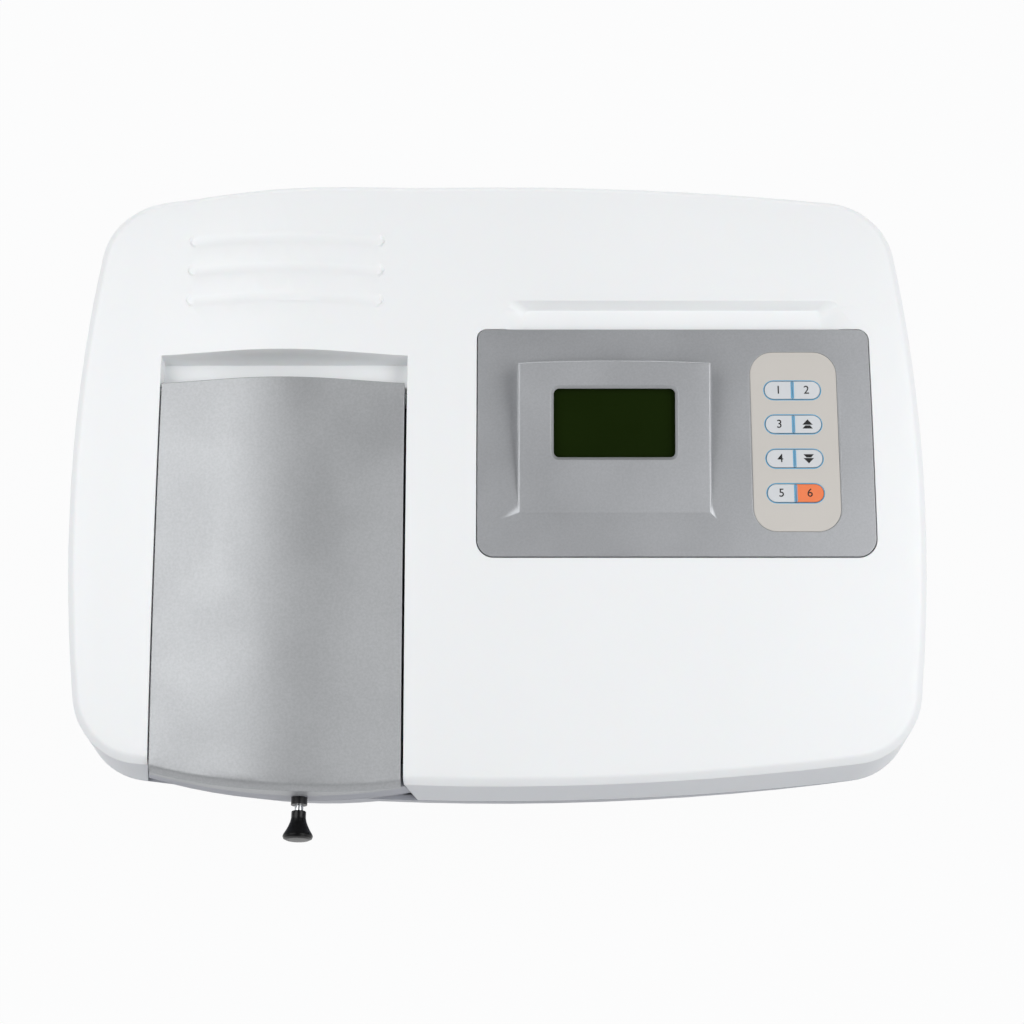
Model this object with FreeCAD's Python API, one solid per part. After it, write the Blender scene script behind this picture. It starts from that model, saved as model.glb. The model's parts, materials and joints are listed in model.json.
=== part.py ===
import FreeCAD, Part
import math
import os
from FreeCAD import Placement, Rotation, Vector

# A bench visible spectrophotometer. Millimetres, +Z up, the front faces -Y.
# The origin is under the middle of the whole instrument, on the bench.

# Housing
body_width = 476.0
body_depth = 341.3
knob_reach = 25.7
foot_height = 6.0
tray_height = 88.0
front_edge_height = 127.9
rear_edge_height = 188.7
crown_bulge = 8.45
side_bow_radius = 950.0
rear_bow_radius = 1780.0
front_bow_radius = 1650.0
rear_corner_radius = 42.0
front_corner_radius = 40.0
cover_draft = 2.0
tray_undercut = 12.0
wall = 3.0
skin_thickness = 3.2
edge_radius = 6.0
seam_gap = 0.5
seam_lip = 2.0
piece_gap = 0.3

# Hump over the compartment
hump_height = 9.5
hump_half_width = 88.0
hump_rear_loss = 0.38
hump_fade_start = 111.0

# Compartment lid and the channel it closes
lid_margin = 51.0
lid_width = 135.2
lid_length = 217.3
lid_wall = 2.8
lid_gap_left = 0.9
lid_gap_right = 1.4
lid_lift = 0.6
lid_roll_radius = 5.0
lid_bow_radius = 317.0
lid_bow_offset = 17.4
lid_bow_reach = 3.5
lid_rim_drop = 4.9
hinge_pin_radius = 1.75
hinge_inset = 3.0
hinge_drop = 3.0
hinge_running_gap = 0.08
hinge_boss_radius = 4.5
hinge_boss_width = 2.5
recess_length = 16.0
recess_depth = 10.2
recess_floor_reach = 9.5
front_flare = 6.3
strip_inset = 1.0
strip_height = 16.0
strip_depth = 14.0

# Grooves behind the lid
groove_count = 3
groove_pitch = 18.0
groove_width = 9.4
groove_length = 111.0
groove_depth = 1.3
groove_side = 2.2
groove_shift = 4.0
groove_shift_x = -0.5

# Display fascia
fascia_side_margin = 30.5
fascia_width = 218.6
fascia_front_margin = 121.0
fascia_depth = 127.8
fascia_thickness = 4.0
fascia_proud = 0.5
fascia_gap = 0.6
fascia_ledge = 7.0
fascia_corners = (9.0, 10.0, 6.0, 5.0)
trough_width = 188.5
trough_length = 17.6
trough_depth = 5.5
trough_end_slope = 9.0
trough_rear_slope = 4.0

# Display wedge, in the fascia
wedge_inset = 22.2
wedge_width = 106.7
wedge_front_inset = 22.8
wedge_length = 79.4
wedge_rise = 14.0
wedge_edge_radius = 1.6
wedge_wall = 3.0
wedge_rear_bow = 1.2
window_width = 67.0
window_length = 38.0
window_setback = 31.6
window_bevel = 1.6
window_thickness = 2.0
module_thickness = 8.0

# Keypad
keypad_width = 48.2
keypad_length = 102.6
keypad_corner = 13.0
keypad_right_inset = 18.6
keypad_rear_inset = 12.6
keypad_recess = 1.8
keypad_bevel = 0.9
overlay_thickness = 0.8
key_rows = 4
key_pitch = 19.6
key_pair_width = 30.8
key_depth = 10.0
key_gap = 0.5
key_column_shift = -0.7
key_clearance = 0.4
key_proud = 0.35
key_travel = 0.4
key_flange = 0.8
key_row_shift = -0.3
switch_height = 0.4
board_thickness = 1.6

# Sample compartment
tub_side_inset = 11.0
tub_front_inset = 22.0
tub_rear_inset = 14.5
tub_wall = 2.5
tub_depth = 52.5
rim_gap = 0.5
seal_width = 2.0
seal_height = 5.0
rail_width = 12.0
rail_height = 5.5
cell_size = 12.6
cell_pitch = 15.0
cell_count = 4
cell_depth = 43.5
cell_wall = 4.7
beam_above_floor = 23.0
beam_hole_radius = 6.0
cell_window_width = 8.0
cell_window_height = 22.0
carriage_gap = 0.3
first_cell_y_from_front = 117.8
rod_offset = 12.0
rod_radius = 2.4
rod_drop = 9.0
rod_running_gap = 0.05
bush_radius = 4.4
bush_reach = 4.1
knob_length = 15.7
knob_neck_radius = 4.0
knob_neck_length = 3.7
knob_rim_radius = 8.2
knob_rim_height = 3.0

# Monochromator
mono_gap = 14.5
mono_length = 155.0
mono_width = 155.0
mono_base_height = 60.0
mono_height = 64.0
mono_wall = 4.0
mono_floor = 5.0
mono_cover_thickness = 3.0
grating_size = 30.0
grating_thickness = 8.0
grating_to_exit = 45.0
beam_spacing = 30.0
arm_length = 70.0
arm_width = 8.0
arm_thickness = 5.0
arm_ball_radius = 3.0
table_radius = 18.0
pivot_radius = 4.0
mirror_radius = 27.0
mirror_thickness = 12.0
screw_radius = 3.0
nut_size = 14.0
fork_gap = 0.5
motor_size = 35.0
motor_length = 26.0
guide_radius = 2.5

# Light source
wheel_radius = 25.0
wheel_thickness = 3.0
filter_radius = 4.5
filter_circle = 18.0
filter_count = 6
wheel_from_mono = 4.0
filter_motor_radius = 11.0
filter_motor_length = 18.0
lamp_house_width = 74.0
lamp_house_length = 50.0
lamp_house_height = 70.0
lamp_house_wall = 2.0
lens_radius = 13.0
bulb_radius = 5.5
bulb_setback = 30.0

# Rear panel and what it carries
panel_width = 300.0
panel_height = 68.0
panel_thickness = 2.0
panel_setback = 28.0
panel_ledge = 4.0
panel_centre_x = 0.0
fan_size = 60.0
fan_bore = 28.0
fan_thickness = 15.0
fan_hub_radius = 12.0
fan_blade_count = 7
guard_bar = 2.0
guard_gap = 0.3
guard_sides = 20
inlet_width = 28.0
inlet_height = 48.0
rocker_width = 12.6
rocker_height = 19.0
drawer_width = 19.4
drawer_height = 8.4

vent_count = 10
vent_pitch = 8.0
vent_width = 3.0

post_radius = 4.5
pillar_width = 8.0
foot_radius = 11.0

# Places that follow from those sizes
half_width = body_width / 2
rear_y = (body_depth + knob_reach) / 2
front_y = rear_y - body_depth
tray_top = foot_height + tray_height
floor_top = foot_height + wall
seam_z = tray_top + seam_gap
sky = rear_edge_height + 60.0

lid_left = lid_margin - half_width
lid_right = lid_left + lid_width
lid_rear = front_y + lid_length
channel_left = lid_left - lid_gap_left
channel_right = lid_right + lid_gap_right
hump_centre = (lid_left + lid_right) / 2
bow_x = hump_centre + lid_bow_offset
bow_y = front_y - lid_bow_reach + lid_bow_radius
lid_rim_z = front_edge_height - lid_rim_drop
rim_z = lid_rim_z - rim_gap
strip_bottom = lid_rim_z - lid_lift - strip_height

fascia_right = half_width - fascia_side_margin
fascia_left = fascia_right - fascia_width
fascia_front = front_y + fascia_front_margin
fascia_rear = fascia_front + fascia_depth


def block(x0, x1, y0, y1, z0, z1):
    """A box between two corners."""
    return Part.makeBox(x1 - x0, y1 - y0, z1 - z0, Vector(x0, y0, z0))


def bar(start, direction, radius, length):
    """A round bar from a point along a direction."""
    return Part.makeCylinder(radius, length, Vector(*start), Vector(*direction))


def post(x, y, z0, z1, radius=post_radius):
    """An upright round post."""
    return bar((x, y, z0), (0, 0, 1), radius, z1 - z0)


def rounded_wire(x0, x1, y0, y1, z, radii):
    """A rectangle with four corner radii: front left, front right, rear right, rear left."""
    centres = [
        (x0 + radii[0], y0 + radii[0]),
        (x1 - radii[1], y0 + radii[1]),
        (x1 - radii[2], y1 - radii[2]),
        (x0 + radii[3], y1 - radii[3]),
    ]
    arcs = []
    for quarter, (centre, radius) in enumerate(zip(centres, radii)):
        points = []
        for step in (0, 45, 90):
            angle = math.radians(180 + 90 * quarter + step)
            points.append(Vector(centre[0] + radius * math.cos(angle), centre[1] + radius * math.sin(angle), z))
        arcs.append(points)
    edges = []
    for index, points in enumerate(arcs):
        edges.append(Part.Arc(*points).toShape())
        edges.append(Part.makeLine(points[2], arcs[(index + 1) % 4][0]))
    return Part.Wire(edges)


def plate(x0, x1, y0, y1, z0, z1, radius):
    """A flat plate with rounded corners."""
    radii = radius if isinstance(radius, tuple) else (radius,) * 4
    return Part.Face(rounded_wire(x0, x1, y0, y1, z0, radii)).extrude(Vector(0, 0, z1 - z0))


def polygon_prism(points, direction):
    """Extrudes a closed polygon of 3D points."""
    corners = [Vector(*point) for point in points]
    return Part.Face(Part.makePolygon(corners + corners[:1])).extrude(Vector(*direction))


def turned(profile, start, direction, count_up):
    """Revolves (radius, height) points about the local Z axis and lays that axis along a direction."""
    corners = [Vector(radius, 0, height) for radius, height in profile]
    face = Part.Face(Part.makePolygon(corners + corners[:1]))
    shape = face.revolve(Vector(0, 0, 0), Vector(0, 0, 1), count_up)
    shape.Placement = Placement(Vector(*start), Rotation(Vector(0, 0, 1), Vector(*direction)))
    return shape


def tilted(shape, origin, degrees):
    """Moves a shape from a flat working frame to a tilted one on the instrument's top."""
    shape.Placement = Placement(Vector(*origin), Rotation(Vector(1, 0, 0), degrees))
    return shape


def save(name, shape):
    """Writes one sub-part."""
    if len(shape.Solids) == 0:
        raise ValueError(name)
    shape = Part.makeCompound(shape.Solids) if len(shape.Solids) > 1 else shape.Solids[0]
    shape.exportStep("parts/" + name + ".step")


def crossing(first, first_radius, second, second_radius, side):
    """One of the two points where two circles cross."""
    gap_x = second[0] - first[0]
    gap_y = second[1] - first[1]
    distance = math.hypot(gap_x, gap_y)
    along = (first_radius ** 2 - second_radius ** 2 + distance ** 2) / (2 * distance)
    across = side * math.sqrt(first_radius ** 2 - along ** 2)
    return (
        first[0] + (along * gap_x - across * gap_y) / distance,
        first[1] + (along * gap_y + across * gap_x) / distance,
    )


def outline(inset, z):
    """The housing's plan: four bowed sides joined by tangent corner arcs, moved inwards by inset."""
    side = (half_width - side_bow_radius, 0.0)
    rear = (0.0, rear_y - rear_bow_radius)
    front = (0.0, front_y + front_bow_radius)
    rear_knee = crossing(
        side, side_bow_radius - rear_corner_radius, rear, rear_bow_radius - rear_corner_radius, 1
    )
    front_knee = crossing(
        side, side_bow_radius - front_corner_radius, front, front_bow_radius - front_corner_radius, -1
    )
    side_low = math.atan2(front_knee[1] - side[1], front_knee[0] - side[0])
    side_high = math.atan2(rear_knee[1] - side[1], rear_knee[0] - side[0])
    rear_end = math.atan2(rear_knee[1] - rear[1], rear_knee[0] - rear[0])
    front_end = math.atan2(front_knee[1] - front[1], front_knee[0] - front[0])

    def mirrored(centre):
        return (-centre[0], centre[1])

    pi = math.pi
    arcs = [
        (side, side_bow_radius, side_low, side_high),
        (rear_knee, rear_corner_radius, side_high, rear_end),
        (rear, rear_bow_radius, rear_end, pi - rear_end),
        (mirrored(rear_knee), rear_corner_radius, pi - rear_end, pi - side_high),
        (mirrored(side), side_bow_radius, pi - side_high, pi - side_low),
        (mirrored(front_knee), front_corner_radius, pi - side_low, pi - front_end),
        (front, front_bow_radius, -pi - front_end, front_end),
        (front_knee, front_corner_radius, front_end, side_low),
    ]
    edges = []
    for centre, radius, start, end in arcs:
        reach = radius - inset
        points = []
        for angle in (start, (start + end) / 2, end):
            points.append(Vector(centre[0] + reach * math.cos(angle), centre[1] + reach * math.sin(angle), z))
        edges.append(Part.Arc(*points).toShape())
    return Part.Wire(edges)


def tapered(z0, inset0, z1, inset1):
    """A solid between two insets of the housing's plan."""
    return Part.makeLoft([outline(inset0, z0), outline(inset1, z1)], True, True)


def cover_inset(z):
    """How far the cover's draft has brought its wall in at a height."""
    return (z - seam_z) * math.tan(math.radians(cover_draft))


def tray_inset(z):
    """How far the tray's undercut has brought its wall in at a height."""
    return (tray_top - z) * math.tan(math.radians(tray_undercut))


def hump_at(x):
    """The hump's own height across the instrument."""
    share = abs(x - hump_centre) / hump_half_width
    return hump_height * (1 + math.cos(math.pi * share)) / 2 if share < 1 else 0.0


def hump_share(y):
    """The share of the hump that is left towards the rear edge."""
    start = rear_y - hump_fade_start
    step = min(1.0, max(0.0, (y - start) / (rear_y - start)))
    return 1 - hump_rear_loss * step * step * (3 - 2 * step)


def crown_at(y):
    """The height of the crowned top beside the hump."""
    share = (y - front_y) / body_depth
    straight = front_edge_height + (rear_edge_height - front_edge_height) * share
    return straight + 4 * crown_bulge * share * (1 - share)


def top_at(x, y):
    """The height of the instrument's top surface."""
    return crown_at(y) + hump_share(y) * hump_at(x)


def slope_at(y):
    """The top's fore-and-aft slope in degrees, beside the hump."""
    return math.degrees(math.atan(crown_at(y + 0.5) - crown_at(y - 0.5)))


def surface(xs, ys, height):
    """A smooth face through heights on a grid."""
    rows = []
    for y in ys:
        rows.append([Vector(x, y, height(x, y)) for x in xs])
    sheet = Part.BSplineSurface()
    sheet.interpolate(rows)
    return sheet.toShape()


def skin(drop):
    """The top surface, lowered."""
    margin = 24.0
    columns = 26
    rows = 12
    xs = [-half_width - margin + (body_width + 2 * margin) * n / columns for n in range(columns + 1)]
    ys = [-rear_y - margin + 2 * (rear_y + margin) * n / rows for n in range(rows + 1)]
    return surface(xs, ys, lambda x, y: top_at(x, y) - drop)


def under_skin(drop):
    """Everything under the lowered top surface."""
    return skin(drop).extrude(Vector(0, 0, -sky))


def slab(drop, thickness):
    """A layer that follows the top surface."""
    return skin(drop).extrude(Vector(0, 0, -thickness))


def bow_wire(inset, x0, x1, y_back, z):
    """The compartment's bowed front in plan, closed behind by a straight line."""
    reach = lid_bow_radius - inset

    def on_bow(x):
        return Vector(x, bow_y - math.sqrt(reach ** 2 - (x - bow_x) ** 2), z)

    left = on_bow(x0)
    right = on_bow(x1)
    back_right = Vector(x1, y_back, z)
    back_left = Vector(x0, y_back, z)
    front = Part.Arc(left, on_bow((x0 + x1) / 2), right).toShape()
    sides = Part.makePolygon([right, back_right, back_left, left])
    return Part.Wire([front] + sides.Edges)


def flare_gate(gap, z0, z1, y0, y1):
    """The front opening of the cover, which flares outwards going down, less a gap at each end."""
    slope = front_flare / (front_edge_height - seam_z)

    def left(z):
        return channel_left + gap - slope * max(0.0, front_edge_height - z)

    def right(z):
        return channel_right - gap + slope * max(0.0, front_edge_height - z)

    points = [(left(z0), y0, z0), (right(z0), y0, z0), (right(z1), y0, z1), (left(z1), y0, z1)]
    return polygon_prism(points, (0, y1 - y0, 0))


# Places inside, which the sub-parts share
tub_left = channel_left + tub_side_inset
tub_right = channel_right - tub_side_inset
tub_front = front_y + tub_front_inset
tub_rear = lid_rear - tub_rear_inset
tub_floor = rim_z - tub_depth
beam_z = tub_floor + beam_above_floor
beam_y = front_y + first_cell_y_from_front
rod_x = hump_centre + rod_offset
rod_z = lid_rim_z - rod_drop
carriage_front = beam_y - cell_size / 2 - cell_wall
carriage_rear = beam_y + (cell_count - 1) * cell_pitch + cell_size / 2 + cell_wall
carriage_left = rod_x - cell_size / 2 - cell_wall
carriage_right = rod_x + cell_size / 2 + cell_wall
carriage_bottom = tub_floor + carriage_gap + 1.5
carriage_top = tub_floor + rail_height + carriage_gap + 2.0 + cell_depth
recess_rear = lid_rear + recess_length
recess_floor = top_at(lid_left, lid_rear) - recess_depth
recess_front = lid_rear - recess_floor_reach
hinge_y = lid_rear - hinge_inset
hinge_z = top_at(lid_left, hinge_y) - hinge_drop
strip_wall_y = front_y - lid_bow_reach + strip_inset

mono_left = tub_right + mono_gap
mono_right = mono_left + mono_length
mono_front = beam_y - 55.0
mono_rear = mono_front + mono_width
mono_floor_top = mono_base_height + mono_floor
mono_top = mono_base_height + mono_height
pivot_x = mono_left + grating_to_exit
pivot_y = beam_y + beam_spacing
entrance_x = mono_left + 20.0
screw_y = pivot_y - arm_length
screw_z = beam_z + 6.0
arm_z = mono_top - 8.0 - arm_thickness
guide_z = screw_z - 15.0
screw_start = mono_left + mono_wall + 1.0

wheel_y = mono_rear + wheel_from_mono
wheel_z = beam_z - filter_circle
lamp_front = wheel_y + wheel_thickness + 2.5 + filter_motor_length
lamp_rear = lamp_front + lamp_house_length
lamp_left = entrance_x - lamp_house_width / 2
lamp_right = entrance_x + lamp_house_width / 2
lamp_bottom = beam_z - lamp_house_height / 2
lamp_top = beam_z + lamp_house_height / 2
bulb_y = lamp_front + bulb_setback

panel_y = rear_y - panel_setback
panel_left = panel_centre_x - panel_width / 2
panel_right = panel_centre_x + panel_width / 2
panel_bottom = foot_height + 10.0
panel_top = panel_bottom + panel_height
panel_z = (panel_bottom + panel_top) / 2
fan_x = entrance_x + 17.0
inlet_x = panel_right - 32.0
rocker_x = inlet_x - 38.0
serial_x = panel_left + 21.0
parallel_x = serial_x + 47.0

keypad_right = fascia_right - keypad_right_inset
keypad_left = keypad_right - keypad_width
keypad_rear = fascia_rear - keypad_rear_inset
keypad_front = keypad_rear - keypad_length
keypad_x = (keypad_left + keypad_right) / 2
keypad_y = (keypad_front + keypad_rear) / 2
keypad_tilt = slope_at(keypad_y)
keypad_origin = (keypad_x, keypad_y, top_at(keypad_x, keypad_y) + fascia_proud)
overlay_top = overlay_thickness - keypad_recess
board_top = -fascia_thickness - 3.3

wedge_left = fascia_left + wedge_inset
wedge_right = wedge_left + wedge_width
wedge_front = fascia_front + wedge_front_inset
wedge_rear = wedge_front + wedge_length
wedge_low = crown_at(wedge_front) + fascia_proud
wedge_high = crown_at(wedge_rear) + fascia_proud + wedge_rise
wedge_tilt = math.degrees(math.atan((wedge_high - wedge_low) / wedge_length))
window_x = (wedge_left + wedge_right) / 2
window_y = wedge_rear - window_setback
window_origin = (
    window_x,
    window_y,
    wedge_low + (window_y - wedge_front) * math.tan(math.radians(wedge_tilt)),
)

post_spots = [
    (side * (half_width - 34.0), y) for side in (-1, 1) for y in (front_y + 58.0, rear_y - 72.0)
]
foot_spots = [
    (side * (half_width - 52.0), y) for side in (-1, 1) for y in (front_y + 50.0, rear_y - 46.0)
]
mono_posts = [(x, y) for x in (mono_left + 12, mono_right - 12) for y in (mono_front + 12, mono_rear - 12)]
tub_posts = [(x, y) for x in (tub_left + 12, tub_right - 12) for y in (tub_front + 20, tub_rear - 12)]
lamp_posts = [(x, y) for x in (lamp_left + 8, lamp_right - 8) for y in (lamp_front + 8, lamp_rear - 12)]
detector_width = 34.0
detector_length = 50.0
detector_height = 46.0
detector_right = tub_left - tub_wall
detector_left = detector_right - detector_width
detector_bottom = beam_z - detector_height / 2
detector_post = (detector_left + 12.0, beam_y + 10.0)
board_left = mono_left + 4.0
board_right = mono_right - 4.0
board_front = mono_front + 18.0
board_rear = mono_rear - 18.0
board_z = floor_top + 8.0
board_posts = [(x, y) for x in (board_left + 5, board_right - 5) for y in (board_front + 5, board_rear - 5)]
supply_left = lamp_right + 14.0
supply_width = 105.0
supply_front = mono_rear + 14.0
supply_length = 60.0
supply_height = 46.0
supply_z = floor_top + 5.0
supply_posts = [
    (x, y)
    for x in (supply_left + 8, supply_left + supply_width - 8)
    for y in (supply_front + 8, supply_front + supply_length - 8)
]


def base_tray():
    """Moulded tray: undercut walls, the bowed front under the lid, a pocket for the rear panel, posts."""
    outer = tapered(foot_height, tray_inset(foot_height), tray_top, 0.0)
    inner = tapered(floor_top, tray_inset(floor_top) + wall, tray_top + 1, wall)
    x0 = channel_left - front_flare
    x1 = channel_right + front_flare
    back = front_y + 60.0

    def bow(extra, z0, z1, gap):
        drop0 = (strip_bottom - z0) * math.tan(math.radians(tray_undercut))
        drop1 = (strip_bottom - z1) * math.tan(math.radians(tray_undercut))
        low = bow_wire(strip_inset + drop0 + extra, x0 + gap, x1 - gap, back, z0)
        high = bow_wire(strip_inset + drop1 + extra, x0 + gap, x1 - gap, back, z1)
        return Part.makeLoft([low, high], True, True)

    gate = flare_gate(seam_gap, tray_top, strip_bottom, front_y - 20, front_y + strip_depth)
    gate_inner = flare_gate(seam_gap + wall, tray_top - 5, strip_bottom + 1, front_y - 20, front_y + 60)
    step = bow(0.0, tray_top, strip_bottom, 0.0).common(gate)
    step_inner = bow(wall, tray_top - 5, strip_bottom + 1, 0.0).common(gate_inner)
    lower_bow = bow(0.0, foot_height, tray_top, 0.0)
    lower_inner = bow(wall, floor_top, tray_top + 1, wall)
    shell = outer.fuse([lower_bow, step]).cut(inner.fuse([lower_inner, step_inner]))

    lip = tapered(tray_top - 4, wall + 0.2, seam_z + 3, wall + 0.2 + cover_inset(seam_z + 3))
    lip = lip.cut(tapered(tray_top - 5, wall + 0.2 + seam_lip, seam_z + 4, wall + 0.2 + seam_lip))
    lip = lip.cut(block(x0 - 1, x1 + 1, front_y - 20, front_y + 40, tray_top - 6, sky))

    pocket_shell = block(
        panel_left - wall, panel_right + wall, panel_y - wall, rear_y + 5, panel_bottom - wall, panel_top + wall
    ).common(outer)
    pocket = plate(panel_left, panel_right, panel_bottom, panel_top, 0, rear_y, 4.0)
    pocket.Placement = Placement(Vector(0, panel_y + rear_y, 0), Rotation(Vector(1, 0, 0), 90))
    opening = block(
        panel_left + panel_ledge, panel_right - panel_ledge, panel_y - 10, panel_y + 1,
        panel_bottom + panel_ledge, panel_top - panel_ledge,
    )
    posts = []
    for x, y in post_spots:
        posts.append(post(x, y, floor_top, tray_top))

    slots = []
    for index in range(vent_count):
        x = supply_left + 12 + index * vent_pitch
        slots.append(block(x, x + vent_width, supply_front + 14, supply_front + 46, 0, floor_top + 5))
    tray = shell.fuse([lip, pocket_shell] + posts)
    return tray.cut([pocket, opening] + slots).removeSplitter()


def standoffs():
    """Square pillars on the tray's floor, one under each fixing point of what the tray carries."""
    carried = [
        (tub_posts, tub_floor - tub_wall), (mono_posts, mono_base_height), (lamp_posts, lamp_bottom),
        (board_posts, board_z), (supply_posts, supply_z), ([detector_post], detector_bottom),
    ]
    half = pillar_width / 2
    pillars = []
    for spots, height in carried:
        for x, y in spots:
            pillars.append(block(x - half, x + half, y - half, y + half, floor_top, height))
    return Part.makeCompound(pillars)


def feet():
    """Four rubber feet with a recess for the fixing screw."""
    profile = [
        (0.0, 2.5), (6.0, 2.5), (6.0, 0.0), (foot_radius - 1.5, 0.0),
        (foot_radius, foot_height), (0.0, foot_height),
    ]
    pads = [turned(profile, (x, y, 0), (0, 0, 1), 360) for x, y in foot_spots]
    return Part.makeCompound(pads)


def groove(y_mid):
    """A shallow groove with sloped sides and round ends that follows the hump."""
    reach = groove_width / 2
    half = groove_length / 2
    steps = [0.0, 0.15, 0.4, 0.7, 1.0]
    offsets = [half - reach * step for step in steps]
    offsets += [(half - reach) * share for share in (0.72, 0.44, 0.15)]
    offsets = offsets + [-offset for offset in reversed(offsets)]
    sections = []
    for offset in offsets:
        x = hump_centre + groove_shift_x + offset
        past = max(0.0, abs(offset) - (half - reach))
        width = math.sqrt(max(0.12, reach ** 2 - past ** 2))
        floor = max(0.2, width - groove_side)
        depth = groove_depth * min(1.0, width / groove_side)
        top = top_at(x, y_mid)
        lean = crown_at(y_mid + 0.5) - crown_at(y_mid - 0.5)
        corners = [(-width - 1.0, 1.0 / groove_side * groove_depth), (-floor, -depth), (floor, -depth)]
        corners.append((width + 1.0, 1.0 / groove_side * groove_depth))
        points = [Vector(x, y_mid + y, top + lean * y + z) for y, z in corners]
        sections.append(Part.makePolygon(points + points[:1]))
    return Part.makeLoft(sections, True, True)


def trough():
    """The finger trough behind the fascia: sloped ends and a sloped rear wall."""
    x0 = fascia_left + 15.6
    x1 = x0 + trough_width
    y1 = fascia_rear + trough_length
    y0 = fascia_rear - 4.0
    mid_x = (x0 + x1) / 2
    level = crown_at((y0 + y1) / 2)
    lift = 6.0
    end_step = trough_end_slope / trough_depth
    rear_step = trough_rear_slope / trough_depth
    top = rounded_wire(
        x0 - end_step * lift, x1 + end_step * lift, y0 - 20, y1 + rear_step * lift, lift, (1, 1, 9, 9)
    )
    low = rounded_wire(
        x0 + trough_end_slope, x1 - trough_end_slope, y0 - 20, y1 - trough_rear_slope,
        -trough_depth, (1, 1, 5, 5),
    )
    shape = Part.makeLoft([top, low], True, True)
    shape.translate(Vector(0, 0, level))
    shape.rotate(Vector(mid_x, (y0 + y1) / 2, level), Vector(1, 0, 0), slope_at((y0 + y1) / 2))
    return shape.cut(block(x0 - 40, x1 + 40, y0 - 60, fascia_rear - 1.0, 0, sky))


def fascia_plan(grow, z0, z1):
    """The fascia's outline as an upright prism."""
    radii = tuple(max(1.0, radius + grow) for radius in fascia_corners)
    return plate(
        fascia_left - grow, fascia_right + grow, fascia_front - grow, fascia_rear + grow, z0, z1, radii
    )


def rounded_crest(blank, radius, picks=lambda edge: True):
    """Rounds the edge of the top in three flats that touch the radius, so that the moulding stays light."""
    first = radius * (2 - math.sqrt(2))
    second = radius * (math.tan(math.pi / 8) - math.tan(math.pi / 16))
    for cut in (first, second):
        solid = blank.Solids[0]
        upper = [face for face in solid.Faces if face.CenterOfMass.z > solid.CenterOfMass.z]
        top = max(upper, key=lambda face: face.Area)
        blank = solid.makeChamfer(cut, [edge for edge in top.Edges if picks(edge)])
    return blank


def top_cover():
    """One white moulding: crowned shell, lid channel, recess, fascia seat, trough, grooves, slots."""
    blank = tapered(seam_z, 0.0, sky, cover_inset(sky)).common(under_skin(0)).Solids[0]
    outer = rounded_crest(blank, edge_radius)
    inner = tapered(seam_z - 1, wall, sky, wall + cover_inset(sky)).common(under_skin(skin_thickness))
    shell = outer.cut(inner)

    inside = under_skin(1.0)
    wall_bottom = rim_z - 6.0
    wall_front = front_y + strip_depth + 2.0
    added = []
    for x0, x1 in ((channel_left - wall, channel_left), (channel_right, channel_right + wall)):
        added.append(block(x0, x1, wall_front, recess_rear + wall, wall_bottom, sky).common(inside))
    added.append(
        block(
            channel_left - wall, channel_right + wall, recess_front, recess_rear + wall,
            recess_floor - wall, recess_floor,
        )
    )
    added.append(
        block(
            channel_left - wall, channel_right + wall, recess_rear, recess_rear + wall,
            recess_floor - wall, sky,
        ).common(inside)
    )
    added.append(slab(skin_thickness - 1, fascia_thickness + 3.0).common(fascia_plan(4.0, seam_z, sky)))
    trough_bed = block(
        fascia_left + 11, fascia_left + 20 + trough_width, fascia_rear, fascia_rear + trough_length + wall,
        seam_z, sky,
    )
    added.append(slab(skin_thickness - 1, trough_depth + 1.0).common(trough_bed))
    for x, y in post_spots:
        added.append(post(x, y, tray_top, sky).common(inside))

    removed = [
        block(channel_left, channel_right, front_y - 40, recess_front, seam_z - 2, sky),
        block(channel_left, channel_right, recess_front - 1, recess_rear, recess_floor, sky),
        flare_gate(0.0, seam_z - 2, front_edge_height, front_y - 40, front_y + strip_depth),
        slab(-20, 20 + fascia_thickness - fascia_proud + 0.05).common(fascia_plan(fascia_gap, seam_z, sky)),
        fascia_plan(-fascia_ledge, seam_z, sky),
        trough(),
    ]
    groove_middle = (recess_rear + rear_y) / 2 - groove_shift
    for index in range(groove_count):
        removed.append(groove(groove_middle + (index - (groove_count - 1) / 2) * groove_pitch))
    for side_x in (channel_left - wall - 2, channel_right - 1):
        removed.append(
            bar((side_x, hinge_y, hinge_z), (1, 0, 0), hinge_pin_radius + hinge_running_gap, wall + 3)
        )
    for index in range(vent_count):
        x = fan_x + (index - (vent_count - 1) / 2) * vent_pitch
        removed.append(
            block(x - vent_width / 2, x + vent_width / 2, rear_y - 20, rear_y + 5, beam_z + 20, beam_z + 56)
        )
    return shell.fuse(added).cut(removed).removeSplitter()


def compartment_front():
    """The bowed strip under the lid, with a flange that carries the rod's bush."""
    top = lid_rim_z - lid_lift
    bottom = strip_bottom + seam_gap
    gate = flare_gate(seam_gap, bottom, top, front_y - 20, front_y + strip_depth)
    x0 = channel_left - front_flare
    x1 = channel_right + front_flare
    outer = Part.Face(bow_wire(strip_inset, x0, x1, front_y + 60, bottom)).extrude(Vector(0, 0, top - bottom))
    inner = Part.Face(bow_wire(strip_inset + wall, x0, x1, front_y + 60, bottom - 1)).extrude(
        Vector(0, 0, top - bottom + 1 - wall)
    )
    strip = outer.cut(inner).common(gate)
    hole = bar((rod_x, front_y - 20, rod_z), (0, 1, 0), bush_radius, 40)
    return strip.cut(hole)


def rod_bush():
    """Black bush in the strip that the selector rod runs in."""
    start = strip_wall_y - bush_reach
    body = bar((rod_x, start, rod_z), (0, 1, 0), bush_radius, bush_reach + wall + 8)
    collar = bar((rod_x, strip_wall_y + wall + 0.5, rod_z), (0, 1, 0), bush_radius + 0.9, 3)
    hole = bar((rod_x, start - 1, rod_z), (0, 1, 0), rod_radius + rod_running_gap, 40)
    return body.fuse(collar).cut(hole)


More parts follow.
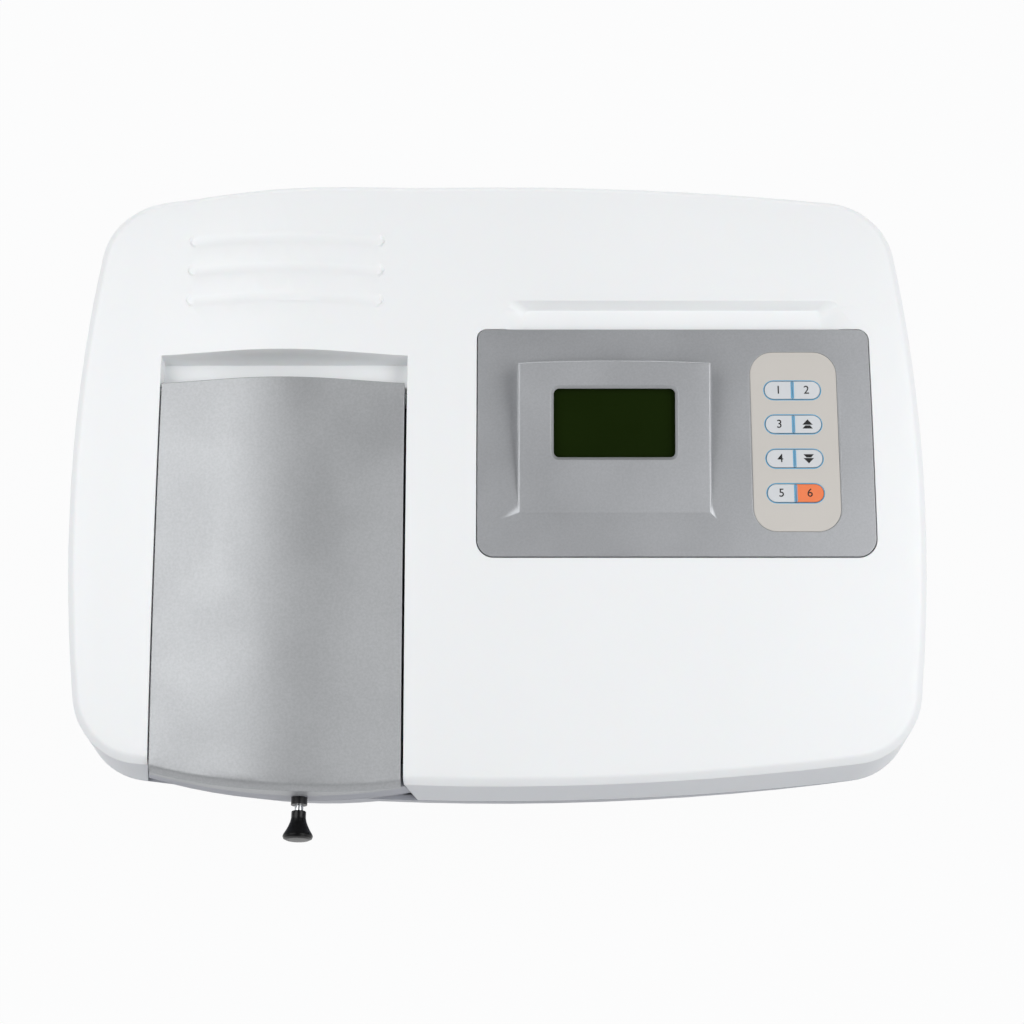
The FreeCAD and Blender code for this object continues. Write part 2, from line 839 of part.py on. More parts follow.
def chamber_tub():
    """Black tub of the sample compartment with beam ports and a flange at its rim."""
    outer = plate(
        tub_left - tub_wall, tub_right + tub_wall, tub_front - tub_wall, tub_rear + tub_wall,
        tub_floor - tub_wall, rim_z, tub_wall,
    )
    flange = block(
        channel_left + piece_gap, channel_right - piece_gap, front_y + strip_depth + 0.2,
        recess_front - piece_gap, rim_z - tub_wall, rim_z,
    )
    hollow = block(tub_left, tub_right, tub_front, tub_rear, tub_floor, rim_z + 1)
    port = bar((tub_left - 20, beam_y, beam_z), (1, 0, 0), beam_hole_radius, tub_right - tub_left + 40)
    rod_hole = bar((rod_x, tub_front - 10, rod_z), (0, 1, 0), rod_radius + 1.2, 20)
    return outer.fuse(flange).cut([hollow, port, rod_hole])


def chamber_seal():
    """Foam light seal that stands on the tub's flange inside the lid."""
    margin = lid_wall + piece_gap + 0.4
    x0 = lid_left + margin
    x1 = lid_right - margin
    y0 = tub_front - tub_wall - seal_width
    y1 = tub_rear + 1.0
    ring = block(x0, x1, y0, y1, rim_z, rim_z + seal_height)
    return ring.cut(
        block(x0 + seal_width, x1 - seal_width, y0 + seal_width, y1 - seal_width, rim_z - 1, sky)
    )


def cell_rail():
    """Rail in the tub's floor that the carriage slides along."""
    rail = block(
        rod_x - rail_width / 2, rod_x + rail_width / 2, tub_front + 10, tub_rear - 8,
        tub_floor, tub_floor + rail_height,
    )
    return rail


def cell_carriage():
    """Carriage with four square cell slots, a window through each, and a channel over the rail."""
    body = block(
        carriage_left, carriage_right, carriage_front, carriage_rear, carriage_bottom, carriage_top
    )
    channel = block(
        rod_x - rail_width / 2 - carriage_gap, rod_x + rail_width / 2 + carriage_gap,
        carriage_front - 1, carriage_rear + 1,
        carriage_bottom - 1, tub_floor + rail_height + carriage_gap,
    )
    removed = [channel]
    for index in range(cell_count):
        y = beam_y + index * cell_pitch
        removed.append(
            block(
                rod_x - cell_size / 2, rod_x + cell_size / 2, y - cell_size / 2, y + cell_size / 2,
                carriage_top - cell_depth, carriage_top + 1,
            )
        )
        removed.append(
            block(
                carriage_left - 1, carriage_right + 1, y - cell_window_width / 2, y + cell_window_width / 2,
                beam_z - cell_window_height / 2, beam_z + cell_window_height / 2,
            )
        )
    return body.cut(removed)


def selector_rod():
    """Chromed rod from the carriage to the knob."""
    start = -rear_y + 5.0
    return bar((rod_x, start, rod_z), (0, 1, 0), rod_radius, carriage_front - start)


def selector_knob():
    """Trumpet-shaped black knob: a straight neck, a flare and a rounded rim."""
    neck = knob_neck_radius
    rim = knob_rim_radius
    socket = 5.0
    flare_length = knob_length - knob_neck_length - knob_rim_height
    profile = [(rod_radius, socket), (rod_radius, knob_length)]
    profile += [(neck - 0.4, knob_length), (neck, knob_length - 0.4)]
    steps = 4
    for step in range(steps + 1):
        share = step / steps
        reach = neck + (rim - 0.3 - neck) * share ** 1.5
        profile.append((reach, knob_rim_height + flare_length * (1 - share)))
    profile += [(rim, 2.0), (rim - 0.5, 0.8), (rim - 2.0, 0.1), (0.0, 0.0), (0.0, socket)]
    return turned(profile, (rod_x, -rear_y, rod_z), (0, 1, 0), 360)


def lid_shell():
    """Silver-grey hood over the compartment, rolled over at its bowed front, open at its rear."""
    plan = Part.Face(bow_wire(0.0, lid_left, lid_right, lid_rear, lid_rim_z))
    blank = plan.extrude(Vector(0, 0, sky)).common(under_skin(0)).Solids[0]

    def at_front(edge):
        return edge.CenterOfMass.y < front_y + 20

    outer = rounded_crest(blank, lid_roll_radius, at_front)
    hollow_plan = Part.Face(
        bow_wire(lid_wall, lid_left + lid_wall, lid_right - lid_wall, lid_rear + 5, lid_rim_z - 1)
    )
    hollow = hollow_plan.extrude(Vector(0, 0, sky)).common(under_skin(lid_wall))
    shell = outer.cut(hollow)
    shell = shell.cut(
        block(lid_left - 1, lid_right + 1, tub_rear, lid_rear + 5, lid_rim_z - 5, recess_floor + 2.5)
    )
    bosses = []
    for x in (lid_left + lid_wall, lid_right - lid_wall - hinge_boss_width):
        bosses.append(bar((x, hinge_y - 1.5, hinge_z), (1, 0, 0), hinge_boss_radius, hinge_boss_width))
    shell = shell.fuse([boss.common(under_skin(1.0)) for boss in bosses])
    hole = bar((lid_left - 5, hinge_y, hinge_z), (1, 0, 0), hinge_pin_radius, lid_width + 10)
    return shell.cut(hole).removeSplitter()


def hinge_pins():
    """Two pins pressed in the lid's bosses that turn in the cover's channel walls."""
    length = lid_wall + hinge_boss_width + wall + 1.5
    left = bar(
        (lid_left + lid_wall + hinge_boss_width, hinge_y, hinge_z), (-1, 0, 0),
        hinge_pin_radius, length + lid_gap_left,
    )
    right = bar(
        (lid_right - lid_wall - hinge_boss_width, hinge_y, hinge_z), (1, 0, 0),
        hinge_pin_radius, length + lid_gap_right,
    )
    return Part.makeCompound([left, right])


def wedge_solid(inset, drop, floor_z):
    """The display wedge: a sloped face, upright sides and a gently bowed rear edge."""
    y0 = wedge_front - 40
    y1 = wedge_rear + 20
    rise = math.tan(math.radians(wedge_tilt))

    def face_z(y):
        return wedge_low + (y - wedge_front) * rise - drop

    points = [
        (wedge_left + inset, y0, floor_z), (wedge_left + inset, y1, floor_z),
        (wedge_left + inset, y1, face_z(y1)), (wedge_left + inset, y0, face_z(y0)),
    ]
    body = polygon_prism(points, (wedge_width - 2 * inset, 0, 0))
    left = Vector(wedge_left + inset, wedge_rear - inset, floor_z)
    middle = Vector(window_x, wedge_rear + wedge_rear_bow - inset, floor_z)
    right = Vector(wedge_right - inset, wedge_rear - inset, floor_z)
    front_right = Vector(wedge_right - inset, wedge_front + inset, floor_z)
    front_left = Vector(wedge_left + inset, wedge_front + inset, floor_z)
    rim = Part.Arc(right, middle, left).toShape()
    sides = Part.makePolygon([left, front_left, front_right, right])
    plan = Part.Face(Part.Wire([rim] + sides.Edges)).extrude(Vector(0, 0, sky))
    return body.common(plan)


def display_fascia():
    """Grey fascia that follows the cover, with the display wedge and the keypad recess."""
    base = slab(-fascia_proud, fascia_thickness).common(fascia_plan(0.0, seam_z, sky))
    low = crown_at(wedge_front) - 12.0
    raised = wedge_solid(0.0, 0.0, crown_at(wedge_front) - 2.0)
    raised = rounded_crest(raised, wedge_edge_radius)
    hollow = wedge_solid(wedge_wall, wedge_wall, low - 20)
    window_cut = Part.makeLoft(
        [
            rounded_wire(
                -window_width / 2 - window_bevel, window_width / 2 + window_bevel,
                -window_length / 2 - window_bevel, window_length / 2 + window_bevel, 0.05, (4.2,) * 4,
            ),
            rounded_wire(
                -window_width / 2, window_width / 2, -window_length / 2, window_length / 2,
                -window_bevel, (3.0,) * 4,
            ),
        ],
        True, True,
    )
    window_hole = plate(
        -window_width / 2, window_width / 2, -window_length / 2, window_length / 2, -10, 0, 3.0
    )
    recess = plate(
        -keypad_width / 2, keypad_width / 2, -keypad_length / 2, keypad_length / 2,
        -keypad_recess, 5, keypad_corner,
    )
    recess_edge = Part.makeLoft(
        [
            rounded_wire(
                -keypad_width / 2 - out, keypad_width / 2 + out, -keypad_length / 2 - out, keypad_length / 2 + out,
                out - keypad_bevel, (keypad_corner + out,) * 4,
            )
            for out in (0.0, keypad_bevel + 0.6)
        ],
        True, True,
    )
    removed = [
        hollow,
        tilted(window_cut, window_origin, wedge_tilt),
        tilted(window_hole, window_origin, wedge_tilt),
        tilted(recess, keypad_origin, keypad_tilt),
        tilted(recess_edge, keypad_origin, keypad_tilt),
    ]
    added = []
    for row in range(key_rows):
        removed.append(key_hole(row))
    for x in (-1, 1):
        for y in (-1, 1):
            spot = post(
                x * (keypad_width / 2 - 4), y * (keypad_length / 2 - 6), board_top, -keypad_recess - 0.6, 2.5
            )
            added.append(tilted(spot, keypad_origin, keypad_tilt))
    raised = raised.cut(hollow)
    return base.fuse([raised] + added).cut(removed).removeSplitter()


def row_y(row):
    """The middle of a row of keys in the keypad's own frame."""
    return ((key_rows - 1) / 2 - row) * key_pitch + key_row_shift


def key_plan(index, grow, z0, z1):
    """One half-pill key in the keypad's own frame: round outside, straight at the middle."""
    right_hand = index % 2 == 1
    y = row_y(index // 2)
    inner = key_gap / 2 - grow
    outer = key_pair_width / 2 + grow
    half = key_depth / 2 + grow
    x0 = inner if right_hand else -outer
    x1 = outer if right_hand else -inner
    round_end = half - 0.15
    radii = (0.3, round_end, round_end, 0.3) if right_hand else (round_end, 0.3, 0.3, round_end)
    shape = plate(x0, x1, y - half, y + half, z0, z1, radii)
    shape.translate(Vector(key_column_shift, 0, 0))
    return shape


def key_hole(row):
    """The opening for a pair of keys in the fascia and the overlay, with its clearance."""
    half_pair = key_pair_width / 2 + key_clearance - 0.1
    half_depth = key_depth / 2 + key_clearance - 0.1
    shape = plate(
        key_column_shift - half_pair, key_column_shift + half_pair,
        row_y(row) - half_depth, row_y(row) + half_depth,
        -fascia_thickness - 4, 1, half_depth - 0.15,
    )
    return tilted(shape, keypad_origin, keypad_tilt)


def key(index):
    """A key cap with a flange that stops it behind the fascia."""
    flange_top = -fascia_thickness - 0.6
    bottom = board_top + switch_height + key_travel + 0.35
    cap = key_plan(index, -0.05, flange_top - 0.1, overlay_top + key_proud)
    flange = key_plan(index, key_flange - 0.05, bottom, flange_top)
    near = key_gap / 2 + 0.05
    far = key_pair_width
    own_side = (near, far) if index % 2 else (-far, -near)
    half_space = block(*own_side, -keypad_length, keypad_length, bottom - 1, 1)
    half_space.translate(Vector(key_column_shift, 0, 0))
    flange = flange.common(half_space)
    return tilted(cap.fuse(flange), keypad_origin, keypad_tilt)


def keypad_overlay():
    """Flat overlay in the fascia's recess, with a hole round each key."""
    gap = 0.15
    sheet = plate(
        -keypad_width / 2 + gap, keypad_width / 2 - gap, -keypad_length / 2 + gap, keypad_length / 2 - gap,
        -keypad_recess, overlay_top, keypad_corner - gap,
    )
    tilted(sheet, keypad_origin, keypad_tilt)
    return sheet.cut([key_hole(row) for row in range(key_rows)])


def keypad_board():
    """Board under the keys, with a switch under each."""
    board = plate(
        -keypad_width / 2 + 1, keypad_width / 2 - 1, -keypad_length / 2 + 1, keypad_length / 2 - 1,
        board_top - board_thickness, board_top, 3.0,
    )
    switches = []
    for index in range(key_rows * 2):
        y = row_y(index // 2)
        x = key_pair_width / 4 * (1 if index % 2 else -1) + key_column_shift
        switches.append(block(x - 3, x + 3, y - 3, y + 3, board_top - 0.1, board_top + switch_height))
    return tilted(board.fuse(switches), keypad_origin, keypad_tilt)


def lcd_window():
    """Clear window behind the opening of the wedge."""
    grow = 3.0
    shape = plate(
        -window_width / 2 - grow, window_width / 2 + grow, -window_length / 2 - grow, window_length / 2 + grow,
        -wedge_wall - window_thickness, -wedge_wall, 2.0,
    )
    return tilted(shape, window_origin, wedge_tilt)


def lcd_module():
    """Display module: a board with the glass pack on it, under the window."""
    top = -wedge_wall - window_thickness
    glass_pack = block(-38, 38, -21, 21, top - module_thickness, top)
    board = block(-44, 44, -25, 25, top - module_thickness - board_thickness, top - module_thickness)
    return tilted(glass_pack.fuse(board), window_origin, wedge_tilt)


def mono_housing():
    """Cast monochromator housing with a light port to the compartment and one from the lamp."""
    body = block(mono_left, mono_right, mono_front, mono_rear, mono_base_height, mono_top)
    hollow = block(
        mono_left + mono_wall, mono_right - mono_wall, mono_front + mono_wall, mono_rear - mono_wall,
        mono_floor_top, mono_top + 1,
    )
    exit_port = bar((mono_left - 1, beam_y, beam_z), (1, 0, 0), beam_hole_radius, mono_wall + 2)
    snout = bar((tub_right + tub_wall, beam_y, beam_z), (1, 0, 0), beam_hole_radius + 2, mono_gap - tub_wall)
    snout = snout.cut(bar((tub_right, beam_y, beam_z), (1, 0, 0), beam_hole_radius, mono_gap + 1))
    entrance = bar((entrance_x, mono_rear - mono_wall - 1, beam_z), (0, 1, 0), beam_hole_radius, mono_wall + 2)
    screw_port = bar(
        (mono_right - mono_wall - 1, screw_y, screw_z), (1, 0, 0), screw_radius + 2, mono_wall + 2
    )
    pivot_hole = post(pivot_x, pivot_y, mono_base_height - 1, mono_floor_top + 1, pivot_radius + 0.08)
    screw_bearing = bar(
        (mono_left + mono_wall, screw_y, screw_z), (1, 0, 0), screw_radius + 3, 5
    ).cut(bar((mono_left + mono_wall, screw_y, screw_z), (1, 0, 0), screw_radius + 0.08, 6))
    return body.cut([hollow, exit_port, entrance, screw_port, pivot_hole]).fuse([snout, screw_bearing])


def mono_cover():
    """Flat cover plate of the monochromator."""
    return block(mono_left, mono_right, mono_front, mono_rear, mono_top, mono_top + mono_cover_thickness)


def exit_slit():
    """Slit plate inside the wall to the compartment."""
    x = mono_left + mono_wall
    sheet = block(x, x + 1.5, beam_y - 11, beam_y + 11, beam_z - 11, beam_z + 11)
    return sheet.cut(block(x - 1, x + 3, beam_y - 0.6, beam_y + 0.6, beam_z - 5, beam_z + 5))


def entrance_slit():
    """Slit plate inside the wall to the lamp."""
    y = mono_rear - mono_wall
    sheet = block(entrance_x - 11, entrance_x + 11, y - 1.5, y, beam_z - 11, beam_z + 11)
    return sheet.cut(block(entrance_x - 0.6, entrance_x + 0.6, y - 3, y + 1, beam_z - 5, beam_z + 5))


def fold_mirror():
    """Flat mirror on a post that turns the light from the lamp towards the collimating mirror."""
    y = pivot_y + beam_spacing
    glass = Part.makeBox(3, 24, 26, Vector(0, -12, -13))
    glass.Placement = Placement(Vector(entrance_x, y, beam_z), Rotation(Vector(0, 0, 1), 45))
    stand = Part.makeBox(6, 20, beam_z - 13 - mono_floor_top, Vector(0, -10, 0))
    stand.Placement = Placement(Vector(entrance_x, y, mono_floor_top), Rotation(Vector(0, 0, 1), 45))
    return glass.fuse(stand)


def concave(start, direction, radius, thickness, dish):
    """A round mirror or lens blank with a hollow front."""
    body = bar(start, direction, radius, thickness)
    sphere_radius = (radius ** 2 + dish ** 2) / (2 * dish)
    way = Vector(*direction)
    centre = Vector(*start) + way * (thickness + sphere_radius - dish)
    return body.cut(Part.makeSphere(sphere_radius, centre))


def collimating_mirror():
    """Concave mirror on the end wall."""
    x = mono_right - mono_wall
    return concave((x, pivot_y, beam_z), (-1, 0, 0), mirror_radius, mirror_thickness, 1.5)


def grating_table():
    """Table on its pivot with the grating's holder above and the sine arm at its top."""
    base = post(pivot_x, pivot_y, mono_floor_top + 0.5, mono_floor_top + 5, table_radius)
    pivot = post(pivot_x, pivot_y, mono_base_height + 0.3, mono_floor_top + 1, pivot_radius)
    back = block(
        pivot_x - 7, pivot_x - 1, pivot_y - grating_size / 2 - 2, pivot_y + grating_size / 2 + 2,
        mono_floor_top + 4, arm_z,
    )
    neck = post(pivot_x, pivot_y, beam_z + grating_size / 2 + 0.5, arm_z + arm_thickness, 7.0)
    arm = block(
        pivot_x - arm_width / 2, pivot_x + arm_width / 2, screw_y + 1, pivot_y, arm_z, arm_z + arm_thickness
    )
    tip = post(pivot_x, screw_y, arm_z - 2.0, arm_z + arm_thickness, arm_ball_radius)
    return base.fuse([pivot, back, neck, arm, tip])


def grating():
    """Ruled grating blank in its holder."""
    return block(
        pivot_x - 1, pivot_x - 1 + grating_thickness, pivot_y - grating_size / 2, pivot_y + grating_size / 2,
        beam_z - grating_size / 2, beam_z + grating_size / 2,
    )


def drive_nut():
    """Nut on the lead screw with a fork round the arm's tip and an ear on the guide rod."""
    top = screw_z + nut_size / 2
    body = block(
        pivot_x - nut_size / 2, pivot_x + nut_size / 2, screw_y - nut_size / 2, screw_y + nut_size / 2,
        guide_z - 5, top,
    )
    prongs = []
    reach = arm_ball_radius + fork_gap
    for side in (-1, 1):
        inner = pivot_x + side * reach
        outer = pivot_x + side * (reach + 3)
        prongs.append(
            block(min(inner, outer), max(inner, outer), screw_y - 6, screw_y + 6, top, arm_z - 0.5)
        )
    bore = bar((pivot_x - 20, screw_y, screw_z), (1, 0, 0), screw_radius + 0.08, 40)
    guide = bar((pivot_x - 20, screw_y, guide_z), (1, 0, 0), guide_radius + 0.08, 40)
    return body.fuse(prongs).cut([bore, guide])


def lead_screw():
    """Lead screw from the wall bearing to the motor."""
    return bar((screw_start, screw_y, screw_z), (1, 0, 0), screw_radius, mono_right - screw_start - 0.3)


def nut_guide():
    """Guide rod that keeps the nut from turning."""
    start = mono_left + mono_wall
    return bar((start, screw_y, guide_z), (1, 0, 0), guide_radius, mono_length - 2 * mono_wall)


def stepper_motor():
    """Stepper motor on the monochromator's end wall."""
    half = motor_size / 2
    return block(
        mono_right, mono_right + motor_length, screw_y - half, screw_y + half, screw_z - half, screw_z + half
    )


def filter_wheel():
    """Wheel with a ring of filter holes."""
    disc = bar((entrance_x, wheel_y, wheel_z), (0, 1, 0), wheel_radius, wheel_thickness)
    hub = bar((entrance_x, wheel_y, wheel_z), (0, 1, 0), 5.0, wheel_thickness + 2.0)
    holes = []
    for index in range(filter_count):
        angle = math.radians(90 + index * 360 / filter_count)
        x = entrance_x + filter_circle * math.cos(angle)
        z = wheel_z + filter_circle * math.sin(angle)
        holes.append(bar((x, wheel_y - 1, z), (0, 1, 0), filter_radius, wheel_thickness + 2))
    return disc.fuse(hub).cut(holes)


def order_filters():
    """Coloured glass discs in all holes of the wheel but the open one."""
    discs = []
    for index in range(1, filter_count):
        angle = math.radians(90 + index * 360 / filter_count)
        x = entrance_x + filter_circle * math.cos(angle)
        z = wheel_z + filter_circle * math.sin(angle)
        discs.append(bar((x, wheel_y, z), (0, 1, 0), filter_radius, wheel_thickness))
    return Part.makeCompound(discs)


def filter_motor():
    """Motor of the filter wheel, on the lamp house's front wall."""
    start = lamp_front - filter_motor_length
    return bar((entrance_x, start, wheel_z), (0, 1, 0), filter_motor_radius, filter_motor_length)


def lamp_house():
    """Sheet-metal lamp house with a hole for the light and cooling slots at its rear."""
    body = block(lamp_left, lamp_right, lamp_front, lamp_rear, lamp_bottom, lamp_top)
    t = lamp_house_wall
    hollow = block(lamp_left + t, lamp_right - t, lamp_front + t, lamp_rear - t, lamp_bottom + t, lamp_top - t)
    port = bar((entrance_x, lamp_front - 1, beam_z), (0, 1, 0), 9.0, t + 2)
    slots = []
    for index in range(6):
        x = entrance_x - 27.5 + index * 10
        slots.append(block(x, x + 4, lamp_front + 12, lamp_rear - 12, lamp_top - t - 1, lamp_top + 1))
    return body.cut([hollow, port] + slots)


def condenser_lens():
    """Plano-convex lens behind the lamp house's port."""
    y = lamp_front + lamp_house_wall
    ball = 26.0
    rim = 3.0
    disc = bar((entrance_x, y, beam_z), (0, 1, 0), lens_radius, rim + 4.0)
    depth = rim + 4.0
    return disc.common(Part.makeSphere(ball, Vector(entrance_x, y + depth - ball, beam_z)))


def halogen_lamp():
    """Halogen lamp: a glass bulb on its foot."""
    bottom = beam_z - 18
    bulb = post(entrance_x, bulb_y, bottom, beam_z + 8, bulb_radius)
    tip = Part.makeCone(bulb_radius, 1.5, 5.0, Vector(entrance_x, bulb_y, beam_z + 8))
    return bulb.fuse(tip)


def lamp_socket():
    """Ceramic socket on the lamp house's floor."""
    return block(
        entrance_x - 10, entrance_x + 10, bulb_y - 8, bulb_y + 8,
        lamp_bottom + lamp_house_wall, beam_z - 18,
    )


def source_mirror():
    """Concave mirror behind the lamp."""
    y = lamp_rear - lamp_house_wall
    return concave((entrance_x, y, beam_z), (0, -1, 0), 20.0, 8.0, 3.0)


def detector_box():
    """Screened box beside the tub with a port for the beam."""
    body = block(
        detector_left, detector_right, beam_y - detector_length / 2, beam_y + detector_length / 2,
        detector_bottom, detector_bottom + detector_height,
    )
    t = 2.0
    hollow = block(
        detector_left + t, detector_right - t, beam_y - detector_length / 2 + t,
        beam_y + detector_length / 2 - t, detector_bottom + t, detector_bottom + detector_height - t,
    )
    port = bar((detector_right - 5, beam_y, beam_z), (1, 0, 0), beam_hole_radius, 8)
    return body.cut([hollow, port])


def photodiode():
    """Photodiode can on its small board."""
    x = detector_left + 2.0
    board = block(x, x + board_thickness, beam_y - 20, beam_y + 20, beam_z - 20, beam_z + 20)
    can = bar((x + board_thickness, beam_y, beam_z), (1, 0, 0), 7.0, 9.0)
    return board.fuse(can)


def main_board():
    """Main circuit board with its larger parts."""
    board = block(board_left, board_right, board_front, board_rear, board_z, board_z + board_thickness)
    top = board_z + board_thickness
    parts = [
        block(board_left + 10, board_left + 60, board_front + 20, board_front + 34, top, top + 4),
        block(board_left + 70, board_left + 90, board_front + 18, board_front + 38, top, top + 3),
        block(board_left + 20, board_left + 34, board_rear - 40, board_rear - 12, top, top + 9),
        block(board_right - 40, board_right - 14, board_front + 50, board_front + 60, top, top + 22),
    ]
    for index in range(3):
        parts.append(post(board_left + 60 + 16 * index, board_rear - 24, top, top + 20, 6.0))
    return board.fuse(parts)


def power_supply():
    """Switched supply: an angle chassis with a board, a transformer and capacitors."""
    x0 = supply_left
    x1 = supply_left + supply_width
    y0 = supply_front
    y1 = supply_front + supply_length
    z0 = supply_z
    base = block(x0, x1, y0, y1, z0, z0 + 1.5)
    side = block(x0, x1, y0, y0 + 1.5, z0, z0 + supply_height)
    board = block(x0 + 3, x1 - 3, y0 + 4, y1 - 3, z0 + 1.5, z0 + 6)
    transformer = block(x0 + 40, x0 + 70, y0 + 14, y0 + 42, z0 + 5, z0 + 34)
    cans = [post(x0 + 84, y0 + 20 + 20 * n, z0 + 5, z0 + 36, 8.0) for n in range(2)]
    heat_sink = block(x0 + 12, x0 + 16, y0 + 10, y1 - 8, z0 + 5, z0 + 38)
    return base.fuse([side, board, transformer, heat_sink] + cans)


def panel_cut(x, z, width, height, radius, depth=20.0):
    """An opening through the rear panel."""
    hole = plate(-width / 2, width / 2, -height / 2, height / 2, -depth / 2, depth / 2, radius)
    hole.Placement = Placement(Vector(x, panel_y, z), Rotation(Vector(1, 0, 0), 90))
    return hole


def rear_panel():
    """Flat panel in the tray's rear pocket."""
    sheet = panel_cut(
        panel_centre_x, panel_z, panel_width - 2 * piece_gap, panel_height - 2 * piece_gap, 3.7, panel_thickness
    )
    sheet.translate(Vector(0, panel_thickness / 2, 0))
    removed = [
        bar((fan_x, panel_y - 5, panel_z), (0, 1, 0), fan_bore, 12),
        panel_cut(inlet_x, panel_z, inlet_width, inlet_height, 0.5),
        panel_cut(rocker_x, panel_z, rocker_width + 4.0, rocker_height + 4.0, 0.5),
        panel_cut(serial_x, panel_z, 18.0, 10.0, 2.0),
        panel_cut(parallel_x, panel_z, 40.0, 10.0, 2.0),
    ]
    return sheet.cut(removed)


def mains_inlet():
    """Mains inlet with a keyed socket, three pins and a slot for the fuse drawer under it."""
    back = panel_y - 24.0
    face = panel_y + panel_thickness + 3.0
    body = block(
        inlet_x - inlet_width / 2 + 0.2, inlet_x + inlet_width / 2 - 0.2, back, face,
        panel_z - inlet_height / 2 + 0.2, panel_z + inlet_height / 2 - 0.2,
    )
    flange = panel_cut(inlet_x, panel_z, inlet_width + 5, inlet_height + 5, 3.0, 3.0)
    flange.translate(Vector(0, panel_thickness + 1.5, 0))
    socket_z = panel_z + 8.0
    key_way = [
        (inlet_x - 11.5, back + 8, socket_z - 8), (inlet_x + 11.5, back + 8, socket_z - 8),
        (inlet_x + 11.5, back + 8, socket_z + 4), (inlet_x + 7, back + 8, socket_z + 8.5),
        (inlet_x - 7, back + 8, socket_z + 8.5), (inlet_x - 11.5, back + 8, socket_z + 4),
    ]
    socket = polygon_prism(key_way, (0, 40, 0))
    drawer_slot = block(
        inlet_x - drawer_width / 2 - 0.35, inlet_x + drawer_width / 2 + 0.35, back + 1.5, face + 1,
        drawer_z() - drawer_height / 2 - 0.35, drawer_z() + drawer_height / 2 + 0.35,
    )
    pins = []
    for x, z in ((-7, 1), (7, 1), (0, -3)):
        pins.append(
            block(inlet_x + x - 1, inlet_x + x + 1, back + 7, face - 4, socket_z + z - 2.5, socket_z + z + 2.5)
        )
    return body.fuse(flange).cut([socket, drawer_slot]).fuse(pins)


def drawer_z():
    """The height of the fuse drawer's middle."""
    return panel_z - inlet_height / 2 + 3.0 + drawer_height / 2 + 1.5


def fuse_drawer():
    """Fuse drawer with a finger lip."""
    face = panel_y + panel_thickness + 3.0
    z = drawer_z()
    tray = block(
        inlet_x - drawer_width / 2, inlet_x + drawer_width / 2, panel_y - 22, face,
        z - drawer_height / 2, z + drawer_height / 2,
    )
    lip = block(
        inlet_x - drawer_width / 2 - 1, inlet_x + drawer_width / 2 + 1, face + 0.4, face + 2.2,
        z - drawer_height / 2 - 1, z + drawer_height / 2 + 1,
    )
    neck = block(
        inlet_x - drawer_width / 2, inlet_x + drawer_width / 2, face - 1, face + 1,
        z - drawer_height / 2, z + drawer_height / 2,
    )
    fuse_bay = block(inlet_x - 7, inlet_x + 7, panel_y - 18, face - 3, z - 2.4, z + drawer_height)
    return tray.fuse([lip, neck]).cut(fuse_bay)


def switch_body():
    """Body and frame of the power switch."""
    frame = panel_cut(rocker_x, panel_z, rocker_width + 6.5, rocker_height + 6.5, 2.0, 2.5)
    frame.translate(Vector(0, panel_thickness + 1.25, 0))
    body = block(
        rocker_x - rocker_width / 2 - 1.8, rocker_x + rocker_width / 2 + 1.8, panel_y - 20, panel_y + 3,
        panel_z - rocker_height / 2 - 1.8, panel_z + rocker_height / 2 + 1.8,
    )
    hollow = block(
        rocker_x - rocker_width / 2 - 0.35, rocker_x + rocker_width / 2 + 0.35, panel_y - 11, panel_y + 10,
        panel_z - rocker_height / 2 - 0.5, panel_z + rocker_height / 2 + 0.5,
    )
    axle = bar(
        (rocker_x - rocker_width / 2 - 1, panel_y + 0.5, panel_z), (1, 0, 0), 1.5, rocker_width + 2
    )
    return body.fuse(frame).cut(hollow).fuse(axle)


def rocker():
    """Rocker of the power switch: two flat faces that meet at a shallow angle."""
    half = rocker_height / 2 - 1.6
    y = panel_y
    points = [
        (0, y + 7.4, panel_z + half), (0, y + 4.6, panel_z), (0, y + 4.4, panel_z - half),
        (0, y - 1.0, panel_z - half + 2.0), (0, y - 4.0, panel_z), (0, y - 1.0, panel_z + half - 2.0),
    ]
    shape = polygon_prism(points, (rocker_width, 0, 0))
    shape.translate(Vector(rocker_x - rocker_width / 2, 0, 0))
    bore = bar((rocker_x - 20, y + 0.5, panel_z), (1, 0, 0), 1.55, 40)
    return shape.cut(bore)


def port_shell(x, width):
    """A D-shaped connector: flange, hollow shell and the insulator inside it."""
    flange = panel_cut(x, panel_z, width + 14, 12.5, 1.5, 1.0)
    flange.translate(Vector(0, panel_thickness + 0.5, 0))
    half_height = 4.2
    reach = panel_thickness + 6.5

    def d_shape(inset, y0, y1):
        top = width / 2 - inset
        low = width / 2 - 1.8 - inset
        high = half_height - inset
        corners = [(x - top, y0, panel_z + high), (x + top, y0, panel_z + high)]
        corners += [(x + low, y0, panel_z - high), (x - low, y0, panel_z - high)]
        return polygon_prism(corners, (0, y1 - y0, 0))

    shell = d_shape(0.0, panel_y - 8.0, panel_y + reach)
    hollow = d_shape(0.7, panel_y + panel_thickness + 1.0, panel_y + reach + 1.0)
    insulator = d_shape(1.4, panel_y + panel_thickness, panel_y + reach - 0.8)
    return flange.fuse(shell).cut(hollow).fuse(insulator)


def data_ports():
    """Two data connectors."""
    return Part.makeCompound([port_shell(serial_x, 16.9), port_shell(parallel_x, 38.9)])


